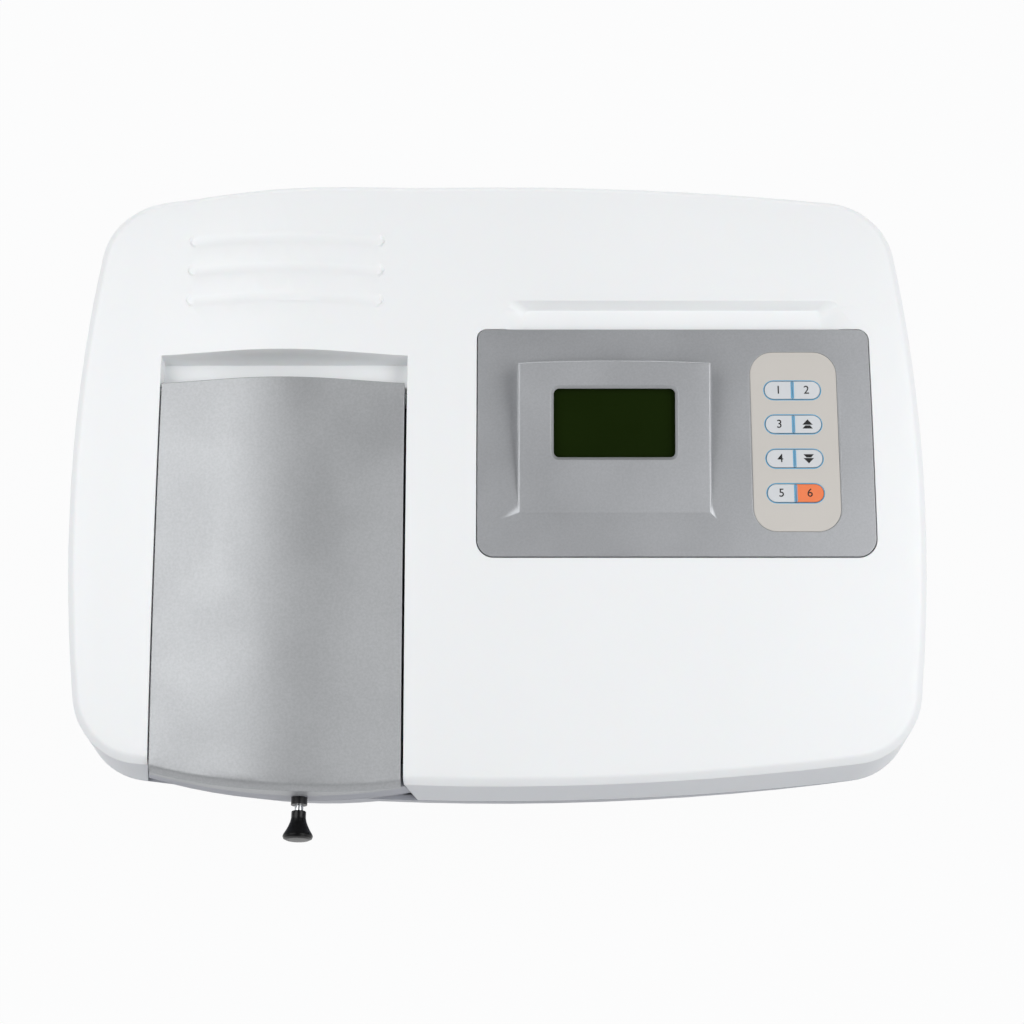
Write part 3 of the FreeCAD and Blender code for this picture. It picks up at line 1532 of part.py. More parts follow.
def fan_housing():
    """Square fan frame with a hub on four struts."""
    half = fan_size / 2
    y1 = panel_y
    y0 = panel_y - fan_thickness
    body = panel_cut(fan_x, panel_z, fan_size, fan_size, 4.0, fan_thickness)
    body.translate(Vector(0, -fan_thickness / 2, 0))
    bore = bar((fan_x, y0 - 1, panel_z), (0, 1, 0), fan_bore, fan_thickness + 2)
    hub = bar((fan_x, y0, panel_z), (0, 1, 0), fan_hub_radius, 3)
    struts = []
    for index in range(4):
        strut = Part.makeBox(half + 2, 3, 3, Vector(0, 0, -1.5))
        strut.Placement = Placement(Vector(fan_x, y0, panel_z), Rotation(Vector(0, 1, 0), 45 + index * 90))
        struts.append(strut)
    ring = bar((fan_x, y0, panel_z), (0, 1, 0), fan_bore + 1, 3)
    struts = [strut.common(ring) for strut in struts]
    pin = bar((fan_x, y0, panel_z), (0, 1, 0), 1.5, 10)
    return body.cut(bore).fuse([hub, pin] + struts)


def fan_rotor():
    """Fan rotor: a hub with twisted blades."""
    y0 = panel_y - fan_thickness + 3.4
    depth = fan_thickness - 4.4
    hub = bar((fan_x, y0, panel_z), (0, 1, 0), fan_hub_radius, depth)
    blades = []
    for index in range(fan_blade_count):
        blade = Part.makeBox(fan_bore - fan_hub_radius + 1.2, 1.4, 13.0, Vector(fan_hub_radius - 2, -0.7, -6.5))
        blade.rotate(Vector(0, 0, 0), Vector(1, 0, 0), 52)
        blade.Placement = Placement(
            Vector(fan_x, y0 + depth / 2, panel_z), Rotation(Vector(0, 1, 0), index * 360 / fan_blade_count)
        ).multiply(blade.Placement)
        blades.append(blade)
    sweep = bar((fan_x, y0, panel_z), (0, 1, 0), fan_bore - 0.8, depth)
    rotor = hub.fuse([blade.common(sweep) for blade in blades])
    return rotor.cut(bar((fan_x, y0 - 1, panel_z), (0, 1, 0), 1.55, 8))


def guard_ring(radius):
    """One ring of the finger guard, bent in short straights."""
    frame = Placement(Vector(fan_x, panel_y + panel_thickness + guard_gap, panel_z), Rotation(Vector(1, 0, 0), -90))
    rims = []
    for reach in (radius + guard_bar / 2, radius - guard_bar / 2):
        corners = []
        for side in range(guard_sides + 1):
            angle = 2 * math.pi * side / guard_sides
            corners.append(Vector(reach * math.cos(angle), reach * math.sin(angle), 0))
        rims.append(Part.Face(Part.makePolygon(corners)).extrude(Vector(0, 0, guard_bar)))
    ring = rims[0].cut(rims[1])
    ring.Placement = frame
    return ring


def fan_guard():
    """Finger guard: flat rings on two crossed bars."""
    y = panel_y + panel_thickness + guard_gap
    pieces = [guard_ring(fan_bore * (index + 1) / 4) for index in range(4)]
    reach = fan_bore + 7.0
    for angle in (45, 135):
        arm = Part.makeBox(2 * reach, guard_bar, guard_bar, Vector(-reach, 0, -guard_bar / 2))
        arm.Placement = Placement(Vector(fan_x, y, panel_z), Rotation(Vector(0, 1, 0), angle))
        pieces.append(arm)
    return pieces[0].fuse(pieces[1:])


os.makedirs("parts", exist_ok=True)
builders = [
    base_tray, standoffs, feet, top_cover, compartment_front, rod_bush, chamber_tub, chamber_seal, cell_rail,
    cell_carriage, selector_rod, selector_knob, lid_shell, hinge_pins, display_fascia, keypad_overlay,
    keypad_board, lcd_window, lcd_module, mono_housing, mono_cover, exit_slit, entrance_slit, fold_mirror,
    collimating_mirror, grating_table, grating, drive_nut, lead_screw, nut_guide, stepper_motor,
    filter_wheel, order_filters, filter_motor, lamp_house, condenser_lens, halogen_lamp, lamp_socket,
    source_mirror, detector_box, photodiode, main_board, power_supply, rear_panel, mains_inlet,
    fuse_drawer, switch_body, rocker, data_ports, fan_housing, fan_rotor, fan_guard,
]
for build_part in builders:
    save(build_part.__name__, build_part())
for number in range(key_rows * 2):
    save("key_" + str(number + 1), key(number))
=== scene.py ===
"""A bench visible spectrophotometer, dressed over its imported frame. Metres, +Z up, the front faces -Y."""

import json
import logging
import math
from dataclasses import dataclass, field
from enum import Enum
from typing import Any, Iterable, Sequence

import bmesh
import bpy
from mathutils import Matrix, Vector

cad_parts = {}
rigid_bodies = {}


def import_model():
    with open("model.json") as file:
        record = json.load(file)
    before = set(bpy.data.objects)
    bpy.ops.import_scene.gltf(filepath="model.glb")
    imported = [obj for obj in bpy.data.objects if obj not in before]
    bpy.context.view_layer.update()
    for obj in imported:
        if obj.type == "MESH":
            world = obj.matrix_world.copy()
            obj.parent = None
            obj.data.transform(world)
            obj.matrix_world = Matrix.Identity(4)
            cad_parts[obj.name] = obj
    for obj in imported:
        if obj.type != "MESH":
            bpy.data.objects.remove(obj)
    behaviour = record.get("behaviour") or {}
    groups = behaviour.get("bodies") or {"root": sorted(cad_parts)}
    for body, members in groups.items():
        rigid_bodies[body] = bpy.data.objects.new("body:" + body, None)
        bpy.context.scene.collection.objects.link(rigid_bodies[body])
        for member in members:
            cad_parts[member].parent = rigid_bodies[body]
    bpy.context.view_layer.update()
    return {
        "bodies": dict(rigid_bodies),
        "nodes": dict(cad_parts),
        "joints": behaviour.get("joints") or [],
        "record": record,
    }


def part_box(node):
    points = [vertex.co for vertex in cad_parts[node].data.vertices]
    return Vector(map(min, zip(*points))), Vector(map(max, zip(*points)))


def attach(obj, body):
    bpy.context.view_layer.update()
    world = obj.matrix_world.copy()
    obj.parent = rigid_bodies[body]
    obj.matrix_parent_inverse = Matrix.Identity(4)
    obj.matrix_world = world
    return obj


log = logging.getLogger("spectrophotometer")
logging.basicConfig(level=logging.INFO, format="%(name)s: %(message)s")

MM = 0.001
Point = tuple[float, float, float]
Pair = tuple[float, float]
BACK: Point = (0, 1, 0)
LEFT: Point = (-1, 0, 0)
UP: Point = (0, 0, 1)
DOWN: Point = (0, 0, -1)
# The colour sockets of a mix node, whose names its other kinds of data share
MIX_A = 6
MIX_B = 7
MIX_RESULT = 2
# Where most of a noise pattern's values lie
FINE_SPAN: Pair = (0.35, 0.65)
SLOW_SPAN: Pair = (0.3, 0.7)
WIPE_SPAN: Pair = (0.4, 0.8)
# Packed corners nearer than this are one, and faces that meet under this angle are shaded as one surface
WELD_REACH = 0.002 * MM
SMOOTH_BELOW_DEGREES = 32
LARGE_FACE_WEIGHT = 80


# Nodes and colours


def linear(hex_colour: str) -> tuple[float, float, float, float]:
    """Turns an sRGB hex colour to linear.

    Args:
        hex_colour: Six hex digits after a hash.

    Returns:
        Linear red, green and blue, and a full alpha.
    """
    parts = [int(hex_colour[k : k + 2], 16) / 255 for k in (1, 3, 5)]
    turned = [c / 12.92 if c <= 0.04045 else ((c + 0.055) / 1.055) ** 2.4 for c in parts]
    return (turned[0], turned[1], turned[2], 1.0)


def shaded(hex_colour: str, share: float) -> str:
    """Makes a hex colour lighter or darker.

    Args:
        hex_colour: Six hex digits after a hash.
        share: What each part is multiplied by, above 1 for lighter.

    Returns:
        The new hex colour.
    """
    parts = [min(255, round(int(hex_colour[k : k + 2], 16) * share)) for k in (1, 3, 5)]
    return "#%02x%02x%02x" % tuple(parts)


def add_node(
    tree: bpy.types.NodeTree,
    kind: str,
    settings: dict[str, Any] | None = None,
    inputs: dict[str | int, Any] | None = None,
) -> bpy.types.Node:
    """Adds a node with its settings, values and links.

    Args:
        tree: The tree that the node goes in.
        kind: Blender's name of the node type.
        settings: Properties of the node.
        inputs: A value for each named input, or the socket that feeds it.

    Returns:
        The node.
    """
    node = tree.nodes.new(kind)
    for name, value in (settings or {}).items():
        setattr(node, name, value)
    for name, value in (inputs or {}).items():
        if isinstance(value, bpy.types.NodeSocket):
            tree.links.new(value, node.inputs[name])
        else:
            node.inputs[name].default_value = value
    return node


def fresh_material(name: str) -> bpy.types.Material:
    """Makes a material with an empty tree."""
    made = bpy.data.materials.new(name)
    made.use_nodes = True
    made.node_tree.nodes.clear()
    return made


# Finishes


class Weave(Enum):
    """How a surface's fine pattern was made."""

    SPARK_ERODED = "spark eroded"
    SPRAYED = "sprayed"
    BRUSHED_X = "brushed along X"
    BRUSHED_Y = "brushed along Y"
    CAST = "cast"
    SMOOTH = "smooth"


@dataclass(frozen=True)
class Surface:
    """What a piece's surface is, under the name of its material."""

    name: str

    def shader(self, tree: bpy.types.NodeTree, place: bpy.types.NodeSocket) -> bpy.types.Node:
        """Builds the shader, which each kind of surface does in its own way."""
        raise NotImplementedError

    def material(self) -> bpy.types.Material:
        """Builds the material.

        Returns:
            The material, made once for each surface.
        """
        made = bpy.data.materials.get(self.name)
        if made is None:
            made = fresh_material(self.name)
            tree = made.node_tree
            place = add_node(tree, "ShaderNodeTexCoord").outputs["Object"]
            look = self.shader(tree, place).outputs[0]
            add_node(tree, "ShaderNodeOutputMaterial", inputs={"Surface": look})
        return made


@dataclass(frozen=True)
class Finish(Surface):
    """An opaque finish: a colour that varies slowly, a fine pattern, uneven gloss and bump.

    The sizes are of the real pattern; one under half a millimetre is drawn at about a millimetre, because
    the render shows the instrument at half a millimetre to the pixel. An edge radius is the mould's or the
    paint's, and catches light along the edges.
    """

    colour: str
    roughness: float
    weave: Weave = Weave.SMOOTH
    grain_mm: float = 1.0
    depth_mm: float = 0.02
    drift: float = 0.03
    drift_mm: float = 60.0
    speckle: float = 0.0
    metallic: float = 0.0
    ior: float = 1.5
    subsurface: float = 0.0
    scatter_mm: float = 1.5
    edge_mm: float = 0.0

    def stretched(self, tree: bpy.types.NodeTree, place: bpy.types.NodeSocket) -> bpy.types.NodeSocket:
        """Stretches the object's own coordinates along the brushing.

        Args:
            tree: The material's tree.
            place: The socket with the coordinates.

        Returns:
            The socket with the stretched ones.
        """
        scale = {Weave.BRUSHED_X: (0.03, 1.0, 1.0), Weave.BRUSHED_Y: (1.0, 0.03, 1.0)}.get(self.weave)
        if scale is None:
            return place
        return add_node(tree, "ShaderNodeMapping", inputs={"Vector": place, "Scale": scale}).outputs["Vector"]

    def grain(self, tree: bpy.types.NodeTree, place: bpy.types.NodeSocket) -> bpy.types.NodeSocket:
        """The fine pattern, from 0 to 1.

        Args:
            tree: The material's tree.
            place: The socket with the coordinates.

        Returns:
            The socket with the pattern.
        """
        scale = 1 / (self.grain_mm * MM)
        detail = 4.0 if self.weave is Weave.CAST else 2.0
        return add_node(
            tree,
            "ShaderNodeTexNoise",
            inputs={"Vector": place, "Scale": scale, "Detail": detail, "Roughness": 0.6},
        ).outputs["Fac"]

    def shader(self, tree: bpy.types.NodeTree, place: bpy.types.NodeSocket) -> bpy.types.Node:
        """Builds the opaque shader.

        Args:
            tree: The material's tree.
            place: The object's own coordinates.

        Returns:
            The shader.
        """
        place = self.stretched(tree, place)
        fine = self.grain(tree, place)
        slow = add_node(
            tree,
            "ShaderNodeTexNoise",
            inputs={"Vector": place, "Scale": 1 / (self.drift_mm * MM), "Detail": 3.0},
        ).outputs["Fac"]
        hue = add_node(
            tree,
            "ShaderNodeMix",
            {"data_type": "RGBA"},
            {
                "Factor": slow,
                MIX_A: linear(shaded(self.colour, 1 - self.drift)),
                MIX_B: linear(shaded(self.colour, 1 + self.drift)),
            },
        ).outputs[MIX_RESULT]
        if self.speckle:
            dots = add_node(
                tree,
                "ShaderNodeMapRange",
                inputs={
                    "Value": fine, "From Min": FINE_SPAN[0], "From Max": FINE_SPAN[1],
                    "To Min": 1 - self.speckle, "To Max": 1 + self.speckle,
                },
            ).outputs[0]
            hue = add_node(
                tree, "ShaderNodeVectorMath", {"operation": "SCALE"}, {0: hue, "Scale": dots}
            ).outputs[0]
        gloss = add_node(
            tree,
            "ShaderNodeMapRange",
            inputs={
                "Value": slow, "From Min": SLOW_SPAN[0], "From Max": SLOW_SPAN[1],
                "To Min": self.roughness * 0.9, "To Max": min(1.0, self.roughness * 1.1),
            },
        ).outputs[0]
        relief: dict[str | int, Any] = {"Height": fine, "Distance": self.depth_mm * MM, "Strength": 0.6}
        if self.edge_mm:
            rounded = add_node(tree, "ShaderNodeBevel", {"samples": 4}, {"Radius": self.edge_mm * MM})
            relief["Normal"] = rounded.outputs[0]
        bump = add_node(tree, "ShaderNodeBump", inputs=relief).outputs[0]
        shader = add_node(
            tree,
            "ShaderNodeBsdfPrincipled",
            inputs={"Base Color": hue, "Roughness": gloss, "Normal": bump, "Metallic": self.metallic},
        )
        if not self.metallic:
            shader.inputs["IOR"].default_value = self.ior
        if self.subsurface:
            shader.inputs["Subsurface Weight"].default_value = self.subsurface
            shader.inputs["Subsurface Scale"].default_value = self.scatter_mm * MM
        return shader


@dataclass(frozen=True)
class Clear(Surface):
    """A clear or tinted glass or acrylic with faint wipe marks in its gloss.

    A thin window that stands flat before its display has a smoke share, which is what it hides, and no
    refraction.
    """

    colour: str
    roughness: float = 0.02
    ior: float = 1.49
    wipe_mm: float = 14.0
    wipe_gloss: float = 0.05
    wipe_shade: float = 0.94
    smoke: float = 0.0

    def shader(self, tree: bpy.types.NodeTree, place: bpy.types.NodeSocket) -> bpy.types.Node:
        """Builds the clear shader.

        Args:
            tree: The material's tree.
            place: The object's own coordinates.

        Returns:
            The shader.
        """
        wipe = add_node(
            tree,
            "ShaderNodeTexNoise",
            inputs={"Vector": place, "Scale": 1 / (self.wipe_mm * MM), "Detail": 4.0},
        ).outputs["Fac"]
        gloss = add_node(
            tree,
            "ShaderNodeMapRange",
            inputs={
                "Value": wipe, "From Min": WIPE_SPAN[0], "From Max": WIPE_SPAN[1],
                "To Min": self.roughness, "To Max": self.roughness + self.wipe_gloss,
            },
        ).outputs[0]
        tint = add_node(
            tree,
            "ShaderNodeMix",
            {"data_type": "RGBA"},
            {
                "Factor": wipe,
                MIX_A: linear(self.colour),
                MIX_B: linear(shaded(self.colour, self.wipe_shade)),
            },
        ).outputs[MIX_RESULT]
        return add_node(
            tree,
            "ShaderNodeBsdfPrincipled",
            inputs={
                "Base Color": tint,
                "Roughness": gloss,
                "IOR": self.ior,
                "Transmission Weight": 0.0 if self.smoke else 1.0,
                "Alpha": self.smoke or 1.0,
            },
        )


@dataclass(frozen=True)
class CircuitBoard(Surface):
    """Solder-resist over copper on glass epoxy: dark green with paler tracks and bright pads."""

    colour: str = "#0d4a2a"
    track: str = "#1c6a3c"
    pad: str = "#c9c6b4"
    track_mm: float = 2.5
    pad_mm: float = 5.0

    def shader(self, tree: bpy.types.NodeTree, place: bpy.types.NodeSocket) -> bpy.types.Node:
        """Builds the board's shader.

        Args:
            tree: The material's tree.
            place: The object's own coordinates.

        Returns:
            The shader.
        """
        runs = add_node(
            tree,
            "ShaderNodeTexBrick",
            {"offset": 0.37, "squash": 0.6, "squash_frequency": 3},
            {
                "Vector": place,
                "Scale": 1 / (self.track_mm * MM),
                "Color1": linear(self.colour),
                "Color2": linear(shaded(self.colour, 1.15)),
                "Mortar": linear(self.track),
                "Mortar Size": 0.06,
                "Brick Width": 3.0,
                "Row Height": 1.0,
            },
        )
        spots = add_node(
            tree,
            "ShaderNodeTexVoronoi",
            {"feature": "F1"},
            {"Vector": place, "Scale": 1 / (self.pad_mm * MM), "Randomness": 0.4},
        ).outputs["Distance"]
        near = add_node(
            tree, "ShaderNodeMath", {"operation": "LESS_THAN"}, {0: spots, 1: 0.14}
        ).outputs[0]
        hue = add_node(
            tree,
            "ShaderNodeMix",
            {"data_type": "RGBA"},
            {"Factor": near, MIX_A: runs.outputs["Color"], MIX_B: linear(self.pad)},
        ).outputs[MIX_RESULT]
        bump = add_node(
            tree, "ShaderNodeBump", inputs={"Height": runs.outputs["Fac"], "Distance": 0.05 * MM}
        ).outputs[0]
        gloss = add_node(
            tree, "ShaderNodeMapRange", inputs={"Value": near, "To Min": 0.35, "To Max": 0.2}
        ).outputs[0]
        look = {"Base Color": hue, "Roughness": gloss, "Normal": bump}
        return add_node(tree, "ShaderNodeBsdfPrincipled", inputs=look)


# ABS, moulded with a fine spark-eroded skin: bright white with a soft, wide highlight
WHITE_ABS = Finish(
    "white_moulded_abs", "#f3f5f6", 0.42, Weave.SPARK_ERODED, grain_mm=0.9, depth_mm=0.012, drift=0.006,
    drift_mm=120, subsurface=0.05, edge_mm=0.5,
)
# ABS of the base, a cooler grey than the cover: the grey is painted shade, for the shade that falls on the
# base under the cover's edge
BASE_ABS_PAINTED_SHADE = Finish(
    "base_abs_grey_painted_shade", "#b3b5bc", 0.45, Weave.SPARK_ERODED, grain_mm=0.9, depth_mm=0.015, drift=0.015,
    edge_mm=0.6,
)
# Silver-grey two-pack paint over ABS, sprayed: flakes give a fine sparkle and a sheen that turns with the
# light
LID_PAINT = Finish(
    "silver_grey_sprayed_paint", "#b2b4b6", 0.46, Weave.SPRAYED, grain_mm=1.3, depth_mm=0.07, drift=0.015,
    drift_mm=40, speckle=0.05, metallic=0.55, edge_mm=0.8,
)
# The same paint on the fascia
FASCIA_PAINT = Finish(
    "grey_sprayed_paint", "#b0b2b5", 0.42, Weave.SPRAYED, grain_mm=1.1, depth_mm=0.045, drift=0.015,
    drift_mm=40, speckle=0.04, metallic=0.5, edge_mm=0.6,
)
# Polyester film with a matt lacquer, screen printed: even, soft and slightly warm
OVERLAY_FILM = Finish(
    "warm_grey_polyester_film", "#c9c5bf", 0.5, Weave.SPARK_ERODED, grain_mm=0.7, depth_mm=0.004, drift=0.01,
)
# The same film on the keys, in a pale grey and in orange
KEY_FILM = Finish(
    "pale_key_film", "#d2d5d8", 0.42, Weave.SPARK_ERODED, grain_mm=0.7, depth_mm=0.004, drift=0.012,
    drift_mm=20,
)
ORANGE_FILM = Finish(
    "orange_key_film", "#f0804e", 0.42, Weave.SPARK_ERODED, grain_mm=0.7, depth_mm=0.004, drift=0.015,
    drift_mm=20,
)
# Screen inks: dense and flat, with a faint unevenness from the mesh
BLUE_INK = Finish("blue_screen_ink", "#56a4cc", 0.5, grain_mm=0.5, depth_mm=0.002, drift=0.04, drift_mm=8)
BLACK_INK = Finish("black_screen_ink", "#0c0c0e", 0.5, grain_mm=0.5, depth_mm=0.002, drift=0.06, drift_mm=8)
WHITE_INK = Finish("white_pad_print", "#e8e8e6", 0.5, grain_mm=0.5, depth_mm=0.002, drift=0.03, drift_mm=8)
# Acetal, moulded in black, for what slides or is pressed: satin
BLACK_ACETAL = Finish(
    "black_moulded_acetal", "#141416", 0.38, Weave.SPARK_ERODED, grain_mm=1.0, depth_mm=0.01, drift=0.05
)
# Polystyrene tub, moulded matt black to kill stray light
MATT_BLACK = Finish(
    "matt_black_moulding", "#17181a", 0.7, Weave.SPARK_ERODED, grain_mm=1.2, depth_mm=0.03, drift=0.05
)
# Phenolic knob, moulded and polished: deep black with sharp highlights
PHENOLIC = Finish(
    "polished_black_phenolic", "#020203", 0.3, grain_mm=3.0, depth_mm=0.003, drift=0.08, drift_mm=10, ior=1.4,
    edge_mm=0.4,
)
# Hard chrome on a ground rod: a mirror with faint turning marks across it
CHROME = Finish(
    "hard_chrome", "#d6d8da", 0.09, Weave.BRUSHED_X, grain_mm=0.6, depth_mm=0.002, drift=0.02, metallic=1.0
)
# Steel, ground and left bare: narrow streaks
STEEL = Finish(
    "ground_steel", "#a8a9aa", 0.3, Weave.BRUSHED_X, grain_mm=0.6, depth_mm=0.006, drift=0.05, metallic=1.0
)
# Zinc-plated screws: pale and slightly blue
ZINC = Finish(
    "bright_zinc_plate", "#bcc2c9", 0.28, grain_mm=0.8, depth_mm=0.004, drift=0.06, drift_mm=6, metallic=1.0
)
# Aluminium sheet, rolled: streaks along the sheet
ALUMINIUM = Finish(
    "rolled_aluminium", "#b9bbbd", 0.36, Weave.BRUSHED_Y, grain_mm=0.8, depth_mm=0.006, drift=0.04,
    metallic=1.0,
)
# Sand-cast aluminium, stoved black: rough and dull
BLACK_CASTING = Finish(
    "black_stoved_casting", "#26272a", 0.62, Weave.CAST, grain_mm=1.6, depth_mm=0.12, drift=0.1, drift_mm=30
)
# Hard-anodised aluminium, dyed black: fine and even
BLACK_ANODISED = Finish(
    "black_anodised_aluminium", "#202124", 0.42, Weave.BRUSHED_Y, grain_mm=0.7, depth_mm=0.004, drift=0.06,
    metallic=0.6,
)
# Powder coat on the steel rear panel: fine orange peel
POWDER_COAT = Finish(
    "light_grey_powder_coat", "#c3c6cb", 0.5, Weave.SPRAYED, grain_mm=1.4, depth_mm=0.05, drift=0.02
)
# Nitrile rubber, moulded: matt with bloom
RUBBER = Finish(
    "moulded_nitrile_rubber", "#1b1b1c", 0.8, Weave.SPARK_ERODED, grain_mm=1.2, depth_mm=0.05, drift=0.12
)
# Open-cell foam strip: coarse and dull
FOAM = Finish("open_cell_foam", "#19191b", 0.95, Weave.CAST, grain_mm=0.9, depth_mm=0.25, drift=0.12)
# Brass, turned: fine rings read as streaks
BRASS = Finish(
    "turned_brass", "#c8a256", 0.28, Weave.BRUSHED_X, grain_mm=0.7, depth_mm=0.006, drift=0.05, metallic=1.0
)
# Gold flashed over the ports' contacts: bright and even
GOLD = Finish(
    "gold_flash", "#d9b45c", 0.22, grain_mm=0.7, depth_mm=0.002, drift=0.05, drift_mm=4, metallic=1.0
)
# Steatite, pressed and fired: chalky
STEATITE = Finish(
    "unglazed_steatite", "#e4ddcd", 0.7, Weave.CAST, grain_mm=0.9, depth_mm=0.05, drift=0.05, drift_mm=12
)
# Aluminium evaporated on polished glass: a mirror without texture
MIRROR = Finish("evaporated_mirror", "#e3e5e6", 0.02, grain_mm=20, depth_mm=0.0005, drift=0.01, metallic=1.0)
# Nylon of the inlet, the switch body and the fan, filled with glass: black with a slight bloom
GLASS_FILLED_NYLON = Finish(
    "black_glass_filled_nylon", "#191a1c", 0.45, Weave.SPARK_ERODED, grain_mm=1.0, depth_mm=0.02, drift=0.08
)
# Stacked motor laminations under black varnish: fine streaks along the stack's edge
MOTOR_BLACK = Finish(
    "motor_laminations", "#2a2a2c", 0.5, Weave.BRUSHED_X, grain_mm=0.9, depth_mm=0.03, drift=0.1
)
# Reflective liquid crystal cell at rest: a dull yellow green
LCD_CELL = Finish(
    "idle_lcd_cell", "#1f3202", 0.5, grain_mm=0.6, depth_mm=0.001, drift=0.06, drift_mm=24, ior=1.2
)
# Acrylic window with a green tint, which darkens the display under it
WINDOW_ACRYLIC = Clear("green_tinted_acrylic", "#0c1602", 0.05, 1.33, smoke=0.4)
# Fused quartz of the lamp, crown glass of the lens and dyed glass of the filters: clear with faint wipes
QUARTZ = Clear("fused_quartz", "#f4f6f6", ior=1.46)
CROWN_GLASS = Clear("polished_crown_glass", "#eef6f2", ior=1.52)
FILTER_GLASS = Clear("amber_filter_glass", "#d98a2a", ior=1.52)
# Glass epoxy board under green solder resist
FR4 = CircuitBoard("green_circuit_board")


# Meshes


def mesh_object(name: str, mesh: bmesh.types.BMesh) -> bpy.types.Object:
    """Turns a bmesh into an object in the scene.

    Args:
        name: The piece's name.
        mesh: The mesh, which is freed.

    Returns:
        The object.
    """
    bmesh.ops.recalc_face_normals(mesh, faces=mesh.faces)
    data = bpy.data.meshes.new(name)
    mesh.to_mesh(data)
    mesh.free()
    made = bpy.data.objects.new(name, data)
    bpy.context.scene.collection.objects.link(made)
    return made


def add_ring(
    mesh: bmesh.types.BMesh, outline: Sequence[Pair], height: float, at: Matrix
) -> list[bmesh.types.BMVert]:
    """Adds an outline's corners at a local height, and gives them back in order."""
    return [mesh.verts.new(at @ Vector((x, y, height))) for x, y in outline]


def join_rings(
    mesh: bmesh.types.BMesh, low: Sequence[bmesh.types.BMVert], high: Sequence[bmesh.types.BMVert]
) -> None:
    """Adds the faces between two rings of corners, of which one may be a single point.

    Args:
        mesh: The mesh that they are added to.
        low: The first ring.
        high: The second ring.
    """
    count = max(len(low), len(high))
    for k in range(count):
        n = (k + 1) % count
        corners = [low[k % len(low)], low[n % len(low)], high[n % len(high)], high[k % len(high)]]
        mesh.faces.new(list(dict.fromkeys(corners)))


def add_prism(mesh: bmesh.types.BMesh, outline: Sequence[Pair], low: float, high: float, at: Matrix) -> None:
    """Adds a closed outline, extruded.

    Args:
        mesh: The mesh that it is added to.
        outline: Points in the local plane.
        low: The local height of its underside.
        high: The local height of its top.
        at: The local frame.
    """
    bottom = add_ring(mesh, outline, low, at)
    top = add_ring(mesh, outline, high, at)
    mesh.faces.new(top)
    mesh.faces.new(bottom[::-1])
    join_rings(mesh, bottom, top)


def add_band(
    mesh: bmesh.types.BMesh, outer: Sequence[Pair], inner: Sequence[Pair], low: float, high: float, at: Matrix
) -> None:
    """Adds the band between two outlines that have the same count of points.

    Args:
        mesh: The mesh that it is added to.
        outer: The outer outline.
        inner: The inner outline.
        low: The local height of its underside.
        high: The local height of its top.
        at: The local frame.
    """
    sides = ((outer, low), (outer, high), (inner, high), (inner, low))
    rings = [add_ring(mesh, outline, height, at) for outline, height in sides]
    for first, second in zip(rings, rings[1:] + rings[:1]):
        join_rings(mesh, first, second)


def add_turned(mesh: bmesh.types.BMesh, profile: Sequence[Pair], at: Matrix, sides: int) -> None:
    """Adds a turned solid.

    Args:
        mesh: The mesh that it is added to.
        profile: (radius, height) points, from the axis round to the axis or back to the first.
        at: The local frame, whose Z is the axis.
        sides: How many sides it has round.
    """
    rings = []
    for radius, height in profile:
        rings.append(add_ring(mesh, circle(0, 0, radius, sides if radius else 1), height, at))
    for low, high in zip(rings, rings[1:]):
        if len(low) + len(high) > 2:
            join_rings(mesh, low, high)


def capsule(x0: float, x1: float, half: float, steps: int = 12) -> list[Pair]:
    """The outline of a pill.

    Args:
        x0: Its left end.
        x1: Its right end.
        half: Half its height.
        steps: Points on each round end.

    Returns:
        The outline's points, anticlockwise.
    """
    points: list[Pair] = []
    for middle, start in ((x1 - half, -90), (x0 + half, 90)):
        for k in range(steps + 1):
            turn = math.radians(start + 180 * k / steps)
            points.append((middle + half * math.cos(turn), half * math.sin(turn)))
    return points


def circle(x: float, y: float, radius: float, sides: int = 24) -> list[Pair]:
    """The points of a circle, anticlockwise."""
    turns = [2 * math.pi * k / sides for k in range(sides)]
    return [(x + radius * math.cos(turn), y + radius * math.sin(turn)) for turn in turns]


def frame_at(origin: Point | Vector, facing: Point | Vector, right: Point | Vector = (1, 0, 0)) -> Matrix:
    """A local frame on a surface.

    Args:
        origin: Where it is.
        facing: Its local Z.
        right: About where its local X points.

    Returns:
        The frame.
    """
    z = Vector(facing).normalized()
    y = z.cross(Vector(right)).normalized()
    x = y.cross(z)
    turned = Matrix((x, y, z)).transposed().to_4x4()
    return Matrix.Translation(Vector(origin)) @ turned


def printed(name: str, text: str, height: float, at: Matrix, ink: float, bold: float) -> bpy.types.Object:
    """Makes a printed character as a thin mesh on a surface.

    Args:
        name: The piece's name.
        text: The character.
        height: The type size.
        at: The frame in the middle of the print.
        ink: The ink's thickness.
        bold: How far the strokes are widened.

    Returns:
        The piece.
    """
    curve = bpy.data.curves.new(name, "FONT")
    curve.body = text
    curve.size = height
    curve.extrude = ink / 2
    curve.offset = bold
    curve.align_x = "CENTER"
    curve.align_y = "CENTER"
    drawn = bpy.data.objects.new("drawn", curve)
    bpy.context.scene.collection.objects.link(drawn)
    bpy.context.view_layer.update()
    data = bpy.data.meshes.new_from_object(drawn.evaluated_get(bpy.context.evaluated_depsgraph_get()))
    bpy.data.objects.remove(drawn)
    data.transform(at @ Matrix.Translation((0, 0, ink / 2)))
    data.name = name
    piece = bpy.data.objects.new(name, data)
    bpy.context.scene.collection.objects.link(piece)
    return piece


